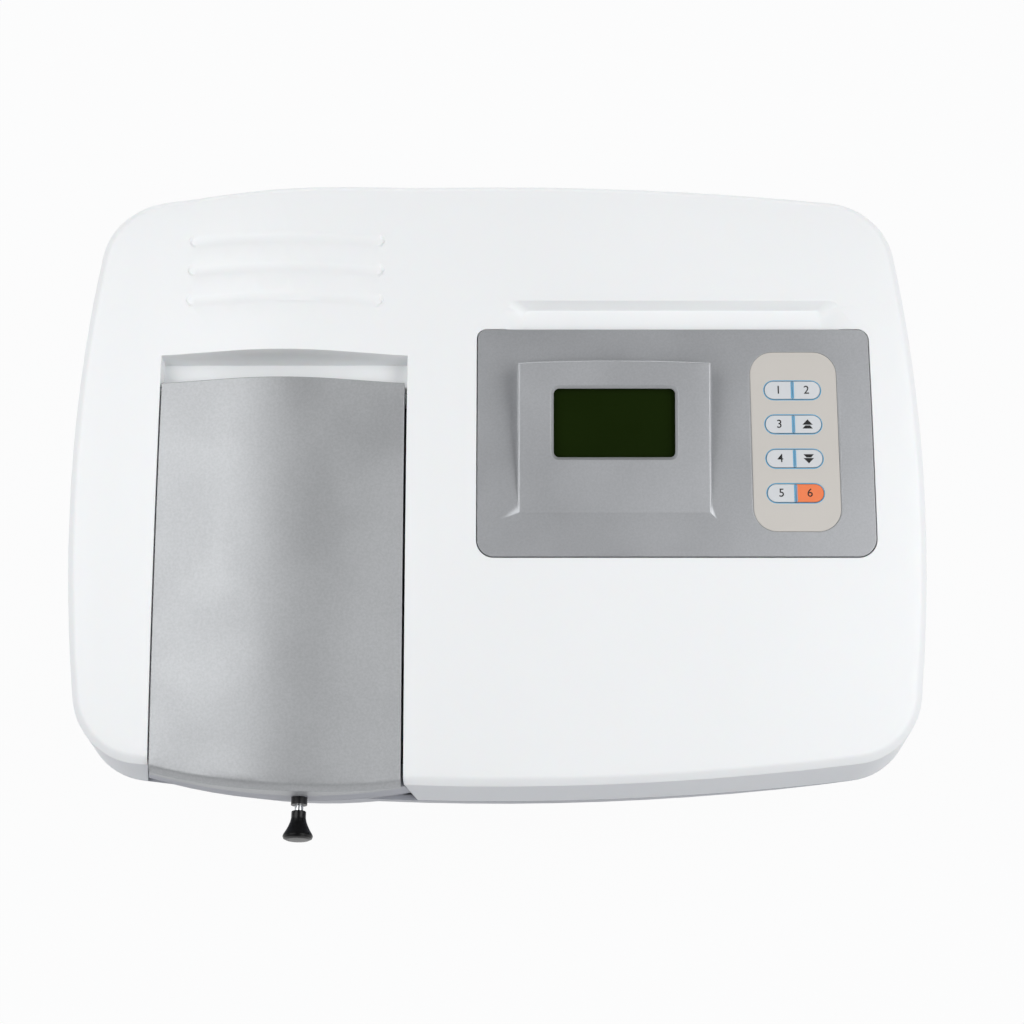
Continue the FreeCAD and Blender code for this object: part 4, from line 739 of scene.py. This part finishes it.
def smoothing() -> bpy.types.NodeTree:
    """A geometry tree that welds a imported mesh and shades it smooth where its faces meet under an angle.

    Returns:
        The tree, made once.
    """
    name = "weld_and_smooth"
    tree = bpy.data.node_groups.get(name)
    if tree:
        return tree
    tree = bpy.data.node_groups.new(name, "GeometryNodeTree")
    tree.interface.new_socket("Geometry", in_out="INPUT", socket_type="NodeSocketGeometry")
    tree.interface.new_socket("Geometry", in_out="OUTPUT", socket_type="NodeSocketGeometry")
    shape = add_node(tree, "NodeGroupInput").outputs[0]
    bare = add_node(
        tree, "GeometryNodeRemoveAttribute", inputs={"Geometry": shape, "Name": "custom_normal"}
    ).outputs[0]
    welded = add_node(
        tree, "GeometryNodeMergeByDistance", inputs={"Geometry": bare, "Distance": WELD_REACH}
    ).outputs[0]
    angle = add_node(tree, "GeometryNodeInputMeshEdgeAngle").outputs["Unsigned Angle"]
    flat = add_node(
        tree, "ShaderNodeMath", {"operation": "LESS_THAN"}, {0: angle, 1: math.radians(SMOOTH_BELOW_DEGREES)}
    ).outputs[0]
    smooth_faces = add_node(
        tree, "GeometryNodeSetShadeSmooth", {"domain": "FACE"}, {0: welded, "Shade Smooth": True}
    ).outputs[0]
    smooth_edges = add_node(
        tree, "GeometryNodeSetShadeSmooth", {"domain": "EDGE"}, {0: smooth_faces, "Shade Smooth": flat}
    ).outputs[0]
    add_node(tree, "NodeGroupOutput", inputs={0: smooth_edges})
    return tree


def soften(piece: bpy.types.Object) -> None:
    """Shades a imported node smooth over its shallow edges, weighted by the size of its faces."""
    weld = piece.modifiers.new("weld_and_smooth", "NODES")
    weld.node_group = smoothing()
    weighted = piece.modifiers.new("weighted_normals", "WEIGHTED_NORMAL")
    weighted.keep_sharp = True
    weighted.weight = LARGE_FACE_WEIGHT


def dress(piece: bpy.types.Object, finish: Surface) -> None:
    """Gives a piece one finish."""
    piece.data.materials.clear()
    piece.data.materials.append(finish.material())


def crossings(first: Pair, second: Pair) -> list[Pair]:
    """Pairs each of two places along one direction with each of two along another."""
    return [(a, b) for a in first for b in second]


def opening_box(opening: dict[str, Any]) -> tuple[Vector, Vector]:
    """The lowest and highest corners of an opening in the record."""
    low, high = opening["box_m"]
    return Vector(low), Vector(high)


@dataclass
class Instrument:
    """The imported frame, and what every sub-assembly does with it."""

    frame: dict[str, Any]

    def node(self, name: str) -> bpy.types.Object:
        """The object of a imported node."""
        return self.frame["nodes"][name]

    def body_of(self, node: str) -> str:
        """The body that carries a node."""
        bodies = self.frame["record"]["behaviour"]["bodies"]
        return next(body for body, members in bodies.items() if node in members)

    def joint_axis(self, name: str) -> Vector:
        """A joint's axis."""
        return Vector(next(j["axis"] for j in self.frame["joints"] if j["name"] == name))

    def dress_nodes(self, finish: Surface, *names: str) -> None:
        """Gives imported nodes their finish.

        Args:
            finish: The finish.
            names: The nodes.
        """
        for name in names:
            piece = self.node(name)
            dress(piece, finish)
            soften(piece)
            log.info("node %s: %s", name, finish.name)

    def add(self, piece: bpy.types.Object, finish: Surface, body: str) -> None:
        """Gives a new piece its finish and its body.

        Args:
            piece: The new piece.
            finish: Its finish.
            body: The body that it rides on.
        """
        dress(piece, finish)
        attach(piece, body)
        log.info("piece %s on %s: %s", piece.name, body, finish.name)

    def top_along(self, name: str, facing: Vector) -> float:
        """How far a node reaches along a direction."""
        return max(vertex.co.dot(facing) for vertex in self.node(name).data.vertices)

    def flat_face(self, name: str, facing: Vector, side: Vector, right: Point) -> Matrix:
        """A frame in the middle of a node's largest flat face that looks about one way, on one side of it.

        Args:
            name: The node.
            facing: About the direction that the face looks in.
            side: Where the face lies from the node's middle.
            right: About where the frame's X points.

        Returns:
            The frame.
        """
        low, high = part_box(name)
        middle = (low + high) / 2
        faces = [f for f in self.node(name).data.polygons if f.normal.dot(facing) > 0.8]
        faces = [f for f in faces if (f.center - middle).dot(side) > 0]
        largest = max(faces, key=lambda f: f.area)
        flush = [f for f in faces if f.normal.dot(largest.normal) > 0.9999]
        area = sum(f.area for f in flush)
        centre = sum((f.center * f.area for f in flush), Vector()) / area
        return frame_at(centre, largest.normal, right)

    def on_surface(self, name: str, facing: Vector, right: Point = (1, 0, 0)) -> Matrix:
        """A frame in the middle of a node's outermost face.

        Args:
            name: The node.
            facing: The direction that the face looks in.
            right: About where the frame's X points.

        Returns:
            The frame.
        """
        low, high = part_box(name)
        middle = (low + high) / 2
        middle += facing * (self.top_along(name, facing) - middle.dot(facing))
        return frame_at(middle, facing, right)


@dataclass
class Fastener:
    """A pan-head screw with a cross recess. The plain numbers are shares of its radius and height."""

    radius: float = 3.0 * MM
    height: float = 2.2 * MM
    slot_width: float = 0.9 * MM
    slot_depth: float = 1.3 * MM
    skirt: float = 0.45
    shoulder: Pair = (0.9, 0.82)
    crown: float = 0.72
    slot_reach: float = 0.56
    sides: int = 24

    def add_to(self, mesh: bmesh.types.BMesh, at: Matrix) -> None:
        """Adds one screw head, with a cross cut in its crown.

        Args:
            mesh: The mesh that it is added to.
            at: The frame of the face that it sits on.
        """
        rows = []
        for radius, height in (
            (self.radius, 0.0),
            (self.radius, self.height * self.skirt),
            (self.radius * self.shoulder[0], self.height * self.shoulder[1]),
            (self.radius * self.crown, self.height),
        ):
            rows.append(add_ring(mesh, circle(0, 0, radius, self.sides), height, at))
        for low, high in zip(rows, rows[1:]):
            join_rings(mesh, low, high)
        w = self.slot_width / 2
        r = self.radius * self.slot_reach
        arm = [(r, -w), (r, w), (w, w)]
        cross = []
        for _ in range(4):
            cross += arm
            arm = [(-y, x) for x, y in arm]
        upper = add_ring(mesh, cross, self.height, at)
        lower = add_ring(mesh, cross, self.height - self.slot_depth, at)
        edges = []
        for ring in (rows[-1], upper):
            for k, vertex in enumerate(ring):
                after = ring[(k + 1) % len(ring)]
                edges.append(mesh.edges.get((vertex, after)) or mesh.edges.new((vertex, after)))
        bmesh.ops.triangle_fill(mesh, use_beauty=True, edges=edges)
        join_rings(mesh, upper, lower)
        mesh.faces.new(lower)


def screws(name: str, frames: Iterable[Matrix], fastener: Fastener) -> bpy.types.Object:
    """Makes one piece of several equal screws.

    Args:
        name: The piece's name.
        frames: Where each screw sits.
        fastener: The screw.

    Returns:
        The piece.
    """
    mesh = bmesh.new()
    for at in frames:
        fastener.add_to(mesh, at)
    return mesh_object(name, mesh)


@dataclass
class Housing(Instrument):
    """Cover, base, compartment front and feet."""

    screw: Fastener = field(default_factory=lambda: Fastener(2.6 * MM, 1.8 * MM))
    case_screw: Fastener = field(default_factory=lambda: Fastener(3.4 * MM, 2.2 * MM))
    foot_inset: float = 11.0 * MM
    foot_recess: float = 2.4 * MM
    post_beyond_feet: float = 7.0 * MM
    post_from_front: float = 19.0 * MM
    post_from_rear: float = 37.0 * MM

    def build(self) -> None:
        """Dresses the housing and adds the screws in its feet and under its corner posts."""
        self.dress_nodes(WHITE_ABS, "top_cover")
        # The base, standoffs and compartment front get the grey that paints the shade under the cover's edge
        self.dress_nodes(BASE_ABS_PAINTED_SHADE, "base_tray", "standoffs", "compartment_front")
        self.dress_nodes(RUBBER, "feet")
        low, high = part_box("feet")
        inset = self.foot_inset
        feet = crossings((low.x + inset, high.x - inset), (low.y + inset, high.y - inset))
        spots = [frame_at((x, y, self.foot_recess), DOWN) for x, y in feet]
        self.add(screws("foot_screws", spots, self.screw), ZINC, "housing")
        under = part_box("base_tray")[0].z
        posts = crossings(
            (low.x - self.post_beyond_feet, high.x + self.post_beyond_feet),
            (low.y + self.post_from_front, high.y - self.post_from_rear),
        )
        spots = [frame_at((x, y, under), DOWN) for x, y in posts]
        self.add(screws("case_screws", spots, self.case_screw), ZINC, "housing")


@dataclass
class Lid(Instrument):
    """Compartment lid with its hinge."""

    def build(self) -> None:
        """Dresses the lid."""
        self.dress_nodes(LID_PAINT, "lid_shell")
        self.dress_nodes(STEEL, "hinge_pins")


@dataclass
class SampleChamber(Instrument):
    """Compartment with its cell changer."""

    wall_centre: float = 8.6 * MM
    digit_height: float = 4.6 * MM
    digit_bold: float = 0.06 * MM
    ink: float = 0.03 * MM

    def build(self) -> None:
        """Dresses the compartment and numbers the four cell places on the carriage."""
        self.dress_nodes(BLACK_ACETAL, "rod_bush", "cell_rail")
        self.dress_nodes(MATT_BLACK, "chamber_tub")
        self.dress_nodes(FOAM, "chamber_seal")
        self.dress_nodes(BLACK_ANODISED, "cell_carriage")
        self.dress_nodes(CHROME, "selector_rod")
        self.dress_nodes(PHENOLIC, "selector_knob")
        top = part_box("cell_carriage")[1].z
        slots = [o for o in self.frame["record"]["physics"]["openings"] if o["name"].startswith("cell_slot")]
        for number, slot in enumerate(slots, start=1):
            low, high = opening_box(slot)
            middle = (low + high) / 2
            at = frame_at((middle.x - self.wall_centre, middle.y, top), UP)
            name = "cell_%d_number" % number
            piece = printed(name, str(number), self.digit_height, at, self.ink, self.digit_bold)
            self.add(piece, WHITE_INK, self.body_of("cell_carriage"))


@dataclass
class Display(Instrument):
    """Fascia, window and display module."""

    cell_inset: float = 1.5 * MM
    cell_levels: Pair = (0.02 * MM, 0.12 * MM)

    def build(self) -> None:
        """Dresses the display and adds the liquid crystal cell on its module."""
        self.dress_nodes(FASCIA_PAINT, "display_fascia")
        self.dress_nodes(WINDOW_ACRYLIC, "lcd_window")
        self.dress_nodes(FR4, "lcd_module")
        facing = self.window_facing()
        at = self.on_surface("lcd_module", facing)
        low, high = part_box("lcd_window")
        half_x = (high.x - low.x) / 2 - self.cell_inset
        half_y = (high.y - low.y) / 2 / facing.z - self.cell_inset
        mesh = bmesh.new()
        cell = [(-half_x, -half_y), (half_x, -half_y), (half_x, half_y), (-half_x, half_y)]
        add_prism(mesh, cell, *self.cell_levels, at)
        self.add(mesh_object("lcd_cell", mesh), LCD_CELL, "housing")

    def window_facing(self) -> Vector:
        """The direction that the display window looks in, from its largest upper face."""
        faces = self.node("lcd_window").data.polygons
        best = max((f for f in faces if f.normal.z > 0.5), key=lambda f: f.area)
        return best.normal.copy()


class Arrow(Enum):
    """Which way a printed double arrow points."""

    UP = 1
    DOWN = -1


@dataclass(frozen=True)
class Cap:
    """The top of a key: its middle, and half its width and length in its own plane."""

    centre: Vector
    half_x: float
    half_y: float


@dataclass
class Keypad(Instrument):
    """Overlay, keys and their print."""

    rows: int = 4
    arrows: dict[int, Arrow] = field(default_factory=lambda: {4: Arrow.UP, 6: Arrow.DOWN})
    cap_skin: float = 0.05 * MM
    outline_gap: float = 0.34 * MM
    line: float = 0.5 * MM
    ink: float = 0.03 * MM
    digit_height: float = 6.6 * MM
    digit_bold: float = 0.04 * MM
    arrow_half: float = 2.9 * MM
    rib_half: float = 0.16 * MM
    rib_depth: float = 1.0 * MM
    divider_inset: float = 0.08 * MM
    divider_reach: float = 0.6 * MM
    divider_end: float = 0.2 * MM

    @property
    def facing(self) -> Vector:
        """The direction that the keys look in."""
        return -self.joint_axis("key_1_press")

    def build(self) -> None:
        """Dresses the keypad and prints outlines, dividers, numbers and arrows."""
        numbers = range(1, 2 * self.rows + 1)
        *pale, last = ["key_%d" % number for number in numbers]
        self.dress_nodes(OVERLAY_FILM, "keypad_overlay")
        self.dress_nodes(FR4, "keypad_board")
        self.dress_nodes(KEY_FILM, *pale)
        self.dress_nodes(ORANGE_FILM, last)
        outlines = bmesh.new()
        ribs = bmesh.new()
        for row in range(self.rows):
            pair = (self.cap(2 * row + 1), self.cap(2 * row + 2))
            self.add_outline(outlines, *pair)
            self.add_rib(ribs, *pair)
        self.add(mesh_object("key_outlines", outlines), BLUE_INK, "housing")
        self.add(mesh_object("key_ribs", ribs), BLUE_INK, "housing")
        for number in numbers:
            self.print_key(number)

    def cap(self, number: int) -> Cap:
        """Measures the cap of a key.

        Args:
            number: The key, from 1.

        Returns:
            The cap.
        """
        name = "key_%d" % number
        at = self.on_surface(name, self.facing)
        back = at.inverted()
        local = [back @ vertex.co for vertex in self.node(name).data.vertices]
        top = [point for point in local if point.z > -self.cap_skin]
        low_x, high_x = min(p.x for p in top), max(p.x for p in top)
        low_y, high_y = min(p.y for p in top), max(p.y for p in top)
        centre = at @ Vector(((high_x + low_x) / 2, (high_y + low_y) / 2, 0))
        return Cap(centre, (high_x - low_x) / 2, (high_y - low_y) / 2)

    def add_outline(self, mesh: bmesh.types.BMesh, left: Cap, right: Cap) -> None:
        """Adds the printed outline round a pair of keys to the overlay.

        Args:
            mesh: The mesh of all outlines.
            left: The left key's cap.
            right: The right key's cap.
        """
        level = self.top_along("keypad_overlay", self.facing)
        middle = (left.centre + right.centre) / 2
        middle += self.facing * (level - middle.dot(self.facing))
        reach = (right.centre - left.centre).length / 2 + left.half_x
        rings = []
        for grow in (self.outline_gap + self.line, self.outline_gap):
            rings.append(capsule(-reach - grow, reach + grow, left.half_y + grow))
        add_band(mesh, rings[0], rings[1], 0.0, self.ink, frame_at(middle, self.facing))

    def add_rib(self, mesh: bmesh.types.BMesh, left: Cap, right: Cap) -> None:
        """Adds the blue rib that stands in the gap between a pair of keys, flush with their tops.

        Args:
            mesh: The mesh of all ribs.
            left: The left key's cap.
            right: The right key's cap.
        """
        at = frame_at((left.centre + right.centre) / 2, self.facing)
        w = self.rib_half
        h = left.half_y
        add_prism(mesh, [(-w, -h), (w, -h), (w, h), (-w, h)], -self.rib_depth, 0.0, at)

    def print_key(self, number: int) -> None:
        """Prints one key: the blue divider on its inner edge, and a number or an arrow.

        Args:
            number: The key, from 1.
        """
        body = self.body_of("key_%d" % number)
        cap = self.cap(number)
        at = frame_at(cap.centre, self.facing)
        side = -1 if number % 2 == 0 else 1
        edge = side * cap.half_x
        x0, x1 = sorted((edge - side * self.divider_inset, edge - side * self.divider_reach))
        y = cap.half_y - self.divider_end
        mesh = bmesh.new()
        add_prism(mesh, [(x0, -y), (x1, -y), (x1, y), (x0, y)], 0.0, self.ink, at)
        self.add(mesh_object("key_%d_divider" % number, mesh), BLUE_INK, body)
        if number in self.arrows:
            self.print_arrow(number, at, body)
        else:
            self.print_digit(number, at, body)

    def print_arrow(self, number: int, at: Matrix, body: str) -> None:
        """Prints a double arrow, whose points are shares of half its width.

        Args:
            number: The key.
            at: The frame on its cap.
            body: The key's body.
        """
        way = self.arrows[number].value
        w = self.arrow_half
        head = [(-1, -0.1), (1, -0.1), (0, 0.95)]
        tail = [(-1, -0.85), (1, -0.85), (0.45, -0.22), (-0.45, -0.22)]
        mesh = bmesh.new()
        for points in (head, tail):
            outline = [(x * w, y * w * way) for x, y in points]
            add_prism(mesh, outline[::way], 0.0, self.ink, at)
        self.add(mesh_object("key_%d_arrow" % number, mesh), BLACK_INK, body)

    def print_digit(self, number: int, at: Matrix, body: str) -> None:
        """Prints a plain number, counted over the keys without an arrow.

        Args:
            number: The key.
            at: The frame on its cap.
            body: The key's body.
        """
        digit = number - sum(1 for arrow in self.arrows if arrow < number)
        name = "key_%d_number" % number
        piece = printed(name, str(digit), self.digit_height, at, self.ink, self.digit_bold)
        self.add(piece, BLACK_INK, body)


@dataclass
class Optics(Instrument):
    """Monochromator, filter wheel, lamp house and detector."""

    def build(self) -> None:
        """Dresses the optics."""
        self.dress_nodes(BLACK_CASTING, "mono_housing")
        self.dress_nodes(BLACK_ANODISED, "mono_cover", "grating_table", "filter_wheel")
        self.dress_nodes(STEEL, "exit_slit", "entrance_slit", "lead_screw", "nut_guide")
        self.dress_nodes(MIRROR, "fold_mirror", "collimating_mirror", "grating", "source_mirror")
        self.dress_nodes(BRASS, "drive_nut")
        self.dress_nodes(MOTOR_BLACK, "stepper_motor")
        self.dress_nodes(FILTER_GLASS, "order_filters")
        self.dress_nodes(ALUMINIUM, "filter_motor", "lamp_house", "detector_box")
        self.dress_nodes(CROWN_GLASS, "condenser_lens")
        self.dress_nodes(QUARTZ, "halogen_lamp")
        self.dress_nodes(STEATITE, "lamp_socket")
        self.dress_nodes(FR4, "photodiode")


@dataclass
class Electronics(Instrument):
    """Main board and power supply."""

    def build(self) -> None:
        """Dresses the electronics."""
        self.dress_nodes(FR4, "main_board")
        self.dress_nodes(STEEL, "power_supply")


@dataclass
class RearPanel(Instrument):
    """Rear panel with its inlet, switch, ports and fan."""

    screw: Fastener = field(default_factory=Fastener)
    screw_inset: float = 7 * MM
    guard_screw: Fastener = field(default_factory=lambda: Fastener(2.4 * MM, 1.6 * MM))
    guard_reach: float = 22.6 * MM
    port_widths: Pair = (16.9 * MM, 38.9 * MM)
    port_flange: float = 14.0 * MM
    port_reach: float = 5.5 * MM
    standoff_shift: float = 0.4 * MM
    standoff_mm: tuple[Pair, ...] = (
        (0, 0), (2.6, 0), (2.6, 3.6), (2.2, 4.2), (1.4, 4.2), (1.4, 1.6), (0, 1.6),
    )
    contact_counts: tuple[int, int] = (5, 13)
    contact_pitch: float = 2.77 * MM
    contact_rows: float = 1.42 * MM
    contact_sink: float = 0.8 * MM
    contact_mm: tuple[Pair, ...] = ((0.5, 0), (0.8, 0), (0.8, 0.12), (0.5, 0.12), (0.5, 0))
    bar_half: Pair = (0.45 * MM, 2.2 * MM)
    ring_radii: Pair = (2.2 * MM, 1.5 * MM)
    ink: float = 0.03 * MM

    def build(self) -> None:
        """Dresses the panel and adds its fasteners, the ports' contacts and the switch's marks."""
        self.dress_nodes(POWDER_COAT, "rear_panel")
        self.dress_nodes(GLASS_FILLED_NYLON, "mains_inlet", "fuse_drawer", "switch_body")
        self.dress_nodes(GLASS_FILLED_NYLON, "fan_housing", "fan_rotor")
        self.dress_nodes(BLACK_ACETAL, "rocker", "fan_guard")
        self.dress_nodes(ZINC, "data_ports")
        low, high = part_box("rear_panel")
        edge = self.screw_inset
        corners = crossings((low.x + edge, high.x - edge), (low.z + edge, high.z - edge))
        spots = [frame_at((x, high.y, z), BACK, LEFT) for x, z in corners]
        self.add(screws("panel_screws", spots, self.screw), ZINC, "housing")
        self.fix_guard()
        self.finish_ports()
        self.mark_switch()

    def fix_guard(self) -> None:
        """Adds the screws at the ends of the fan guard's bars."""
        low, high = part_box("fan_guard")
        middle = (low + high) / 2
        reach = (-self.guard_reach, self.guard_reach)
        ends = crossings(reach, reach)
        spots = [frame_at((middle.x + x, high.y, middle.z + z), BACK, LEFT) for x, z in ends]
        self.add(screws("fan_guard_screws", spots, self.guard_screw), ZINC, "housing")

    def finish_ports(self) -> None:
        """Adds a hexagonal standoff at each end of the ports, and their rows of gilt contacts."""
        low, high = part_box("data_ports")
        level = (low.z + high.z) / 2
        standoff = [(r * MM, h * MM) for r, h in self.standoff_mm]
        contact = [(r * MM, h * MM) for r, h in self.contact_mm]
        posts = bmesh.new()
        contacts = bmesh.new()
        starts = (low.x, high.x - self.port_widths[1] - self.port_flange)
        for start, width, upper in zip(starts, self.port_widths, self.contact_counts):
            middle = start + (width + self.port_flange) / 2
            for side in (-1, 1):
                x = middle + side * (width / 2 + self.port_flange / 4 + self.standoff_shift)
                add_turned(posts, standoff, frame_at((x, high.y - self.port_reach, level), BACK, LEFT), 6)
            for count, height in ((upper, self.contact_rows), (upper - 1, -self.contact_rows)):
                for k in range(count):
                    x = middle + (k - (count - 1) / 2) * self.contact_pitch
                    at = frame_at((x, high.y - self.contact_sink, level + height), BACK, LEFT)
                    add_turned(contacts, contact, at, 12)
        self.add(mesh_object("port_standoffs", posts), ZINC, "housing")
        self.add(mesh_object("port_contacts", contacts), GOLD, "housing")

    def mark_switch(self) -> None:
        """Prints a bar and a ring on the two faces of the rocker."""
        up = Vector(UP)
        body = self.body_of("rocker")
        x, y = self.bar_half
        bar = bmesh.new()
        at = self.flat_face("rocker", Vector(BACK), up, LEFT)
        add_prism(bar, [(-x, -y), (x, -y), (x, y), (-x, y)], 0.0, self.ink, at)
        self.add(mesh_object("switch_bar", bar), WHITE_INK, body)
        ring = bmesh.new()
        at = self.flat_face("rocker", Vector(BACK), -up, LEFT)
        outer, inner = (circle(0, 0, radius, 32) for radius in self.ring_radii)
        add_band(ring, outer, inner, 0.0, self.ink, at)
        self.add(mesh_object("switch_ring", ring), WHITE_INK, body)


@dataclass(frozen=True)
class SoftBox:
    """A soft rectangular light: where it is, the point that it looks at, its size and its power in watts."""

    name: str
    at: Point
    towards: Point
    size: Pair
    energy: float

    def build(self) -> None:
        """Adds the light."""
        data = bpy.data.lights.new(self.name, "AREA")
        data.shape = "RECTANGLE"
        data.size, data.size_y = self.size
        data.energy = self.energy
        light = bpy.data.objects.new(self.name, data)
        light.location = self.at
        light.rotation_euler = (Vector(self.towards) - Vector(self.at)).to_track_quat("-Z", "Y").to_euler()
        bpy.context.scene.collection.objects.link(light)


@dataclass
class Studio:
    """Camera, floor, world and lights.

    The dome's stops are heights on a sphere of radius 1. The tilt and the lens are the photograph's.
    """

    camera_at: Point = (0.008, -0.3825, 1.078)
    camera_tilt: float = 22.0
    lens: float = 63.28
    sensor: float = 36.0
    horizon: str = "#fcfcfc"
    dome: tuple[tuple[float, str], ...] = (
        (0.07, "#fcfcfc"), (0.2, "#868688"), (0.75, "#747476"), (0.94, "#2c2c2d"),
    )
    camera_hole: str = "#2c2c2e"
    floor_half: float = 3.0
    floor_matt: str = "#a6aab4"
    floor_glow: str = "#ffffff"
    glow_share: float = 0.96
    lights: tuple[SoftBox, ...] = (
        SoftBox("right_box", (0.9, -0.22, 1.1), (0.1, 0.0, 0.1), (1.3, 0.95), 11.8),
        SoftBox("left_box", (-0.85, -0.05, 1.12), (-0.1, 0.0, 0.1), (1.3, 1.1), 10.6),
        SoftBox("front_fill", (0.0, -1.4, 0.5), (0.0, 0.0, 0.1), (1.4, 0.5), 0.3),
        SoftBox("rear_fill", (0.0, 1.5, 0.42), (0.0, 0.0, 0.15), (1.4, 0.5), 5.0),
    )

    def build(self) -> None:
        """Builds the studio."""
        scene = bpy.context.scene
        scene.view_settings.view_transform = "Standard"
        self.add_camera(scene)
        self.add_world(scene)
        self.add_floor()
        for light in self.lights:
            light.build()

    def add_camera(self, scene: bpy.types.Scene) -> None:
        """Adds the camera at the photograph's viewing angle.

        Args:
            scene: The scene that it belongs to.
        """
        data = bpy.data.cameras.new("camera")
        data.lens = self.lens
        data.sensor_width = self.sensor
        camera = bpy.data.objects.new("camera", data)
        camera.location = self.camera_at
        camera.rotation_euler = (math.radians(self.camera_tilt), 0, 0)
        scene.collection.objects.link(camera)
        scene.camera = camera

    def add_world(self, scene: bpy.types.Scene) -> None:
        """Adds a white dome that darkens overhead, as a light tent does round its camera hole.

        Args:
            scene: The scene that it belongs to.
        """
        world = bpy.data.worlds.new("studio")
        world.use_nodes = True
        tree = world.node_tree
        tree.nodes.clear()
        around = add_node(tree, "ShaderNodeTexCoord").outputs["Generated"]
        up = add_node(tree, "ShaderNodeSeparateXYZ", inputs={0: around}).outputs["Z"]
        ramp = add_node(tree, "ShaderNodeValToRGB", inputs={"Fac": up})
        first, last = ramp.color_ramp.elements
        first.color = linear(self.horizon)
        last.color = linear(self.camera_hole)
        for place, colour in self.dome:
            ramp.color_ramp.elements.new(place).color = linear(colour)
        light = {"Color": ramp.outputs["Color"], "Strength": 1.0}
        back = add_node(tree, "ShaderNodeBackground", inputs=light).outputs[0]
        add_node(tree, "ShaderNodeOutputWorld", inputs={"Surface": back})
        scene.world = world

    def add_floor(self) -> None:
        """Adds a white floor that keeps a faint shadow."""
        mesh = bmesh.new()
        size = self.floor_half
        for x, y in ((-size, -size), (size, -size), (size, size), (-size, size)):
            mesh.verts.new((x, y, 0))
        mesh.faces.new(mesh.verts)
        floor = mesh_object("floor", mesh)
        finish = fresh_material("white_floor")
        tree = finish.node_tree
        path = add_node(tree, "ShaderNodeLightPath")
        seen = path.outputs["Is Camera Ray"]
        for ray in ("Is Glossy Ray", "Is Transmission Ray"):
            either = {0: seen, 1: path.outputs[ray]}
            seen = add_node(tree, "ShaderNodeMath", {"operation": "MAXIMUM"}, either).outputs[0]
        span = {"Value": seen, "To Min": 0.0, "To Max": self.glow_share}
        share = add_node(tree, "ShaderNodeMapRange", inputs=span).outputs[0]
        matt = add_node(tree, "ShaderNodeBsdfDiffuse", inputs={"Color": linear(self.floor_matt)}).outputs[0]
        shine = {"Color": linear(self.floor_glow), "Strength": 1.0}
        glow = add_node(tree, "ShaderNodeEmission", inputs=shine).outputs[0]
        both = add_node(tree, "ShaderNodeMixShader", inputs={0: share, 1: matt, 2: glow}).outputs[0]
        add_node(tree, "ShaderNodeOutputMaterial", inputs={"Surface": both})
        floor.data.materials.append(finish)


def main() -> None:
    """Builds every sub-assembly and the studio."""
    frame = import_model()
    for assembly in (Housing, Lid, SampleChamber, Display, Keypad, Optics, Electronics, RearPanel):
        assembly(frame).build()
    Studio().build()


if __name__ == "__main__":
    main()
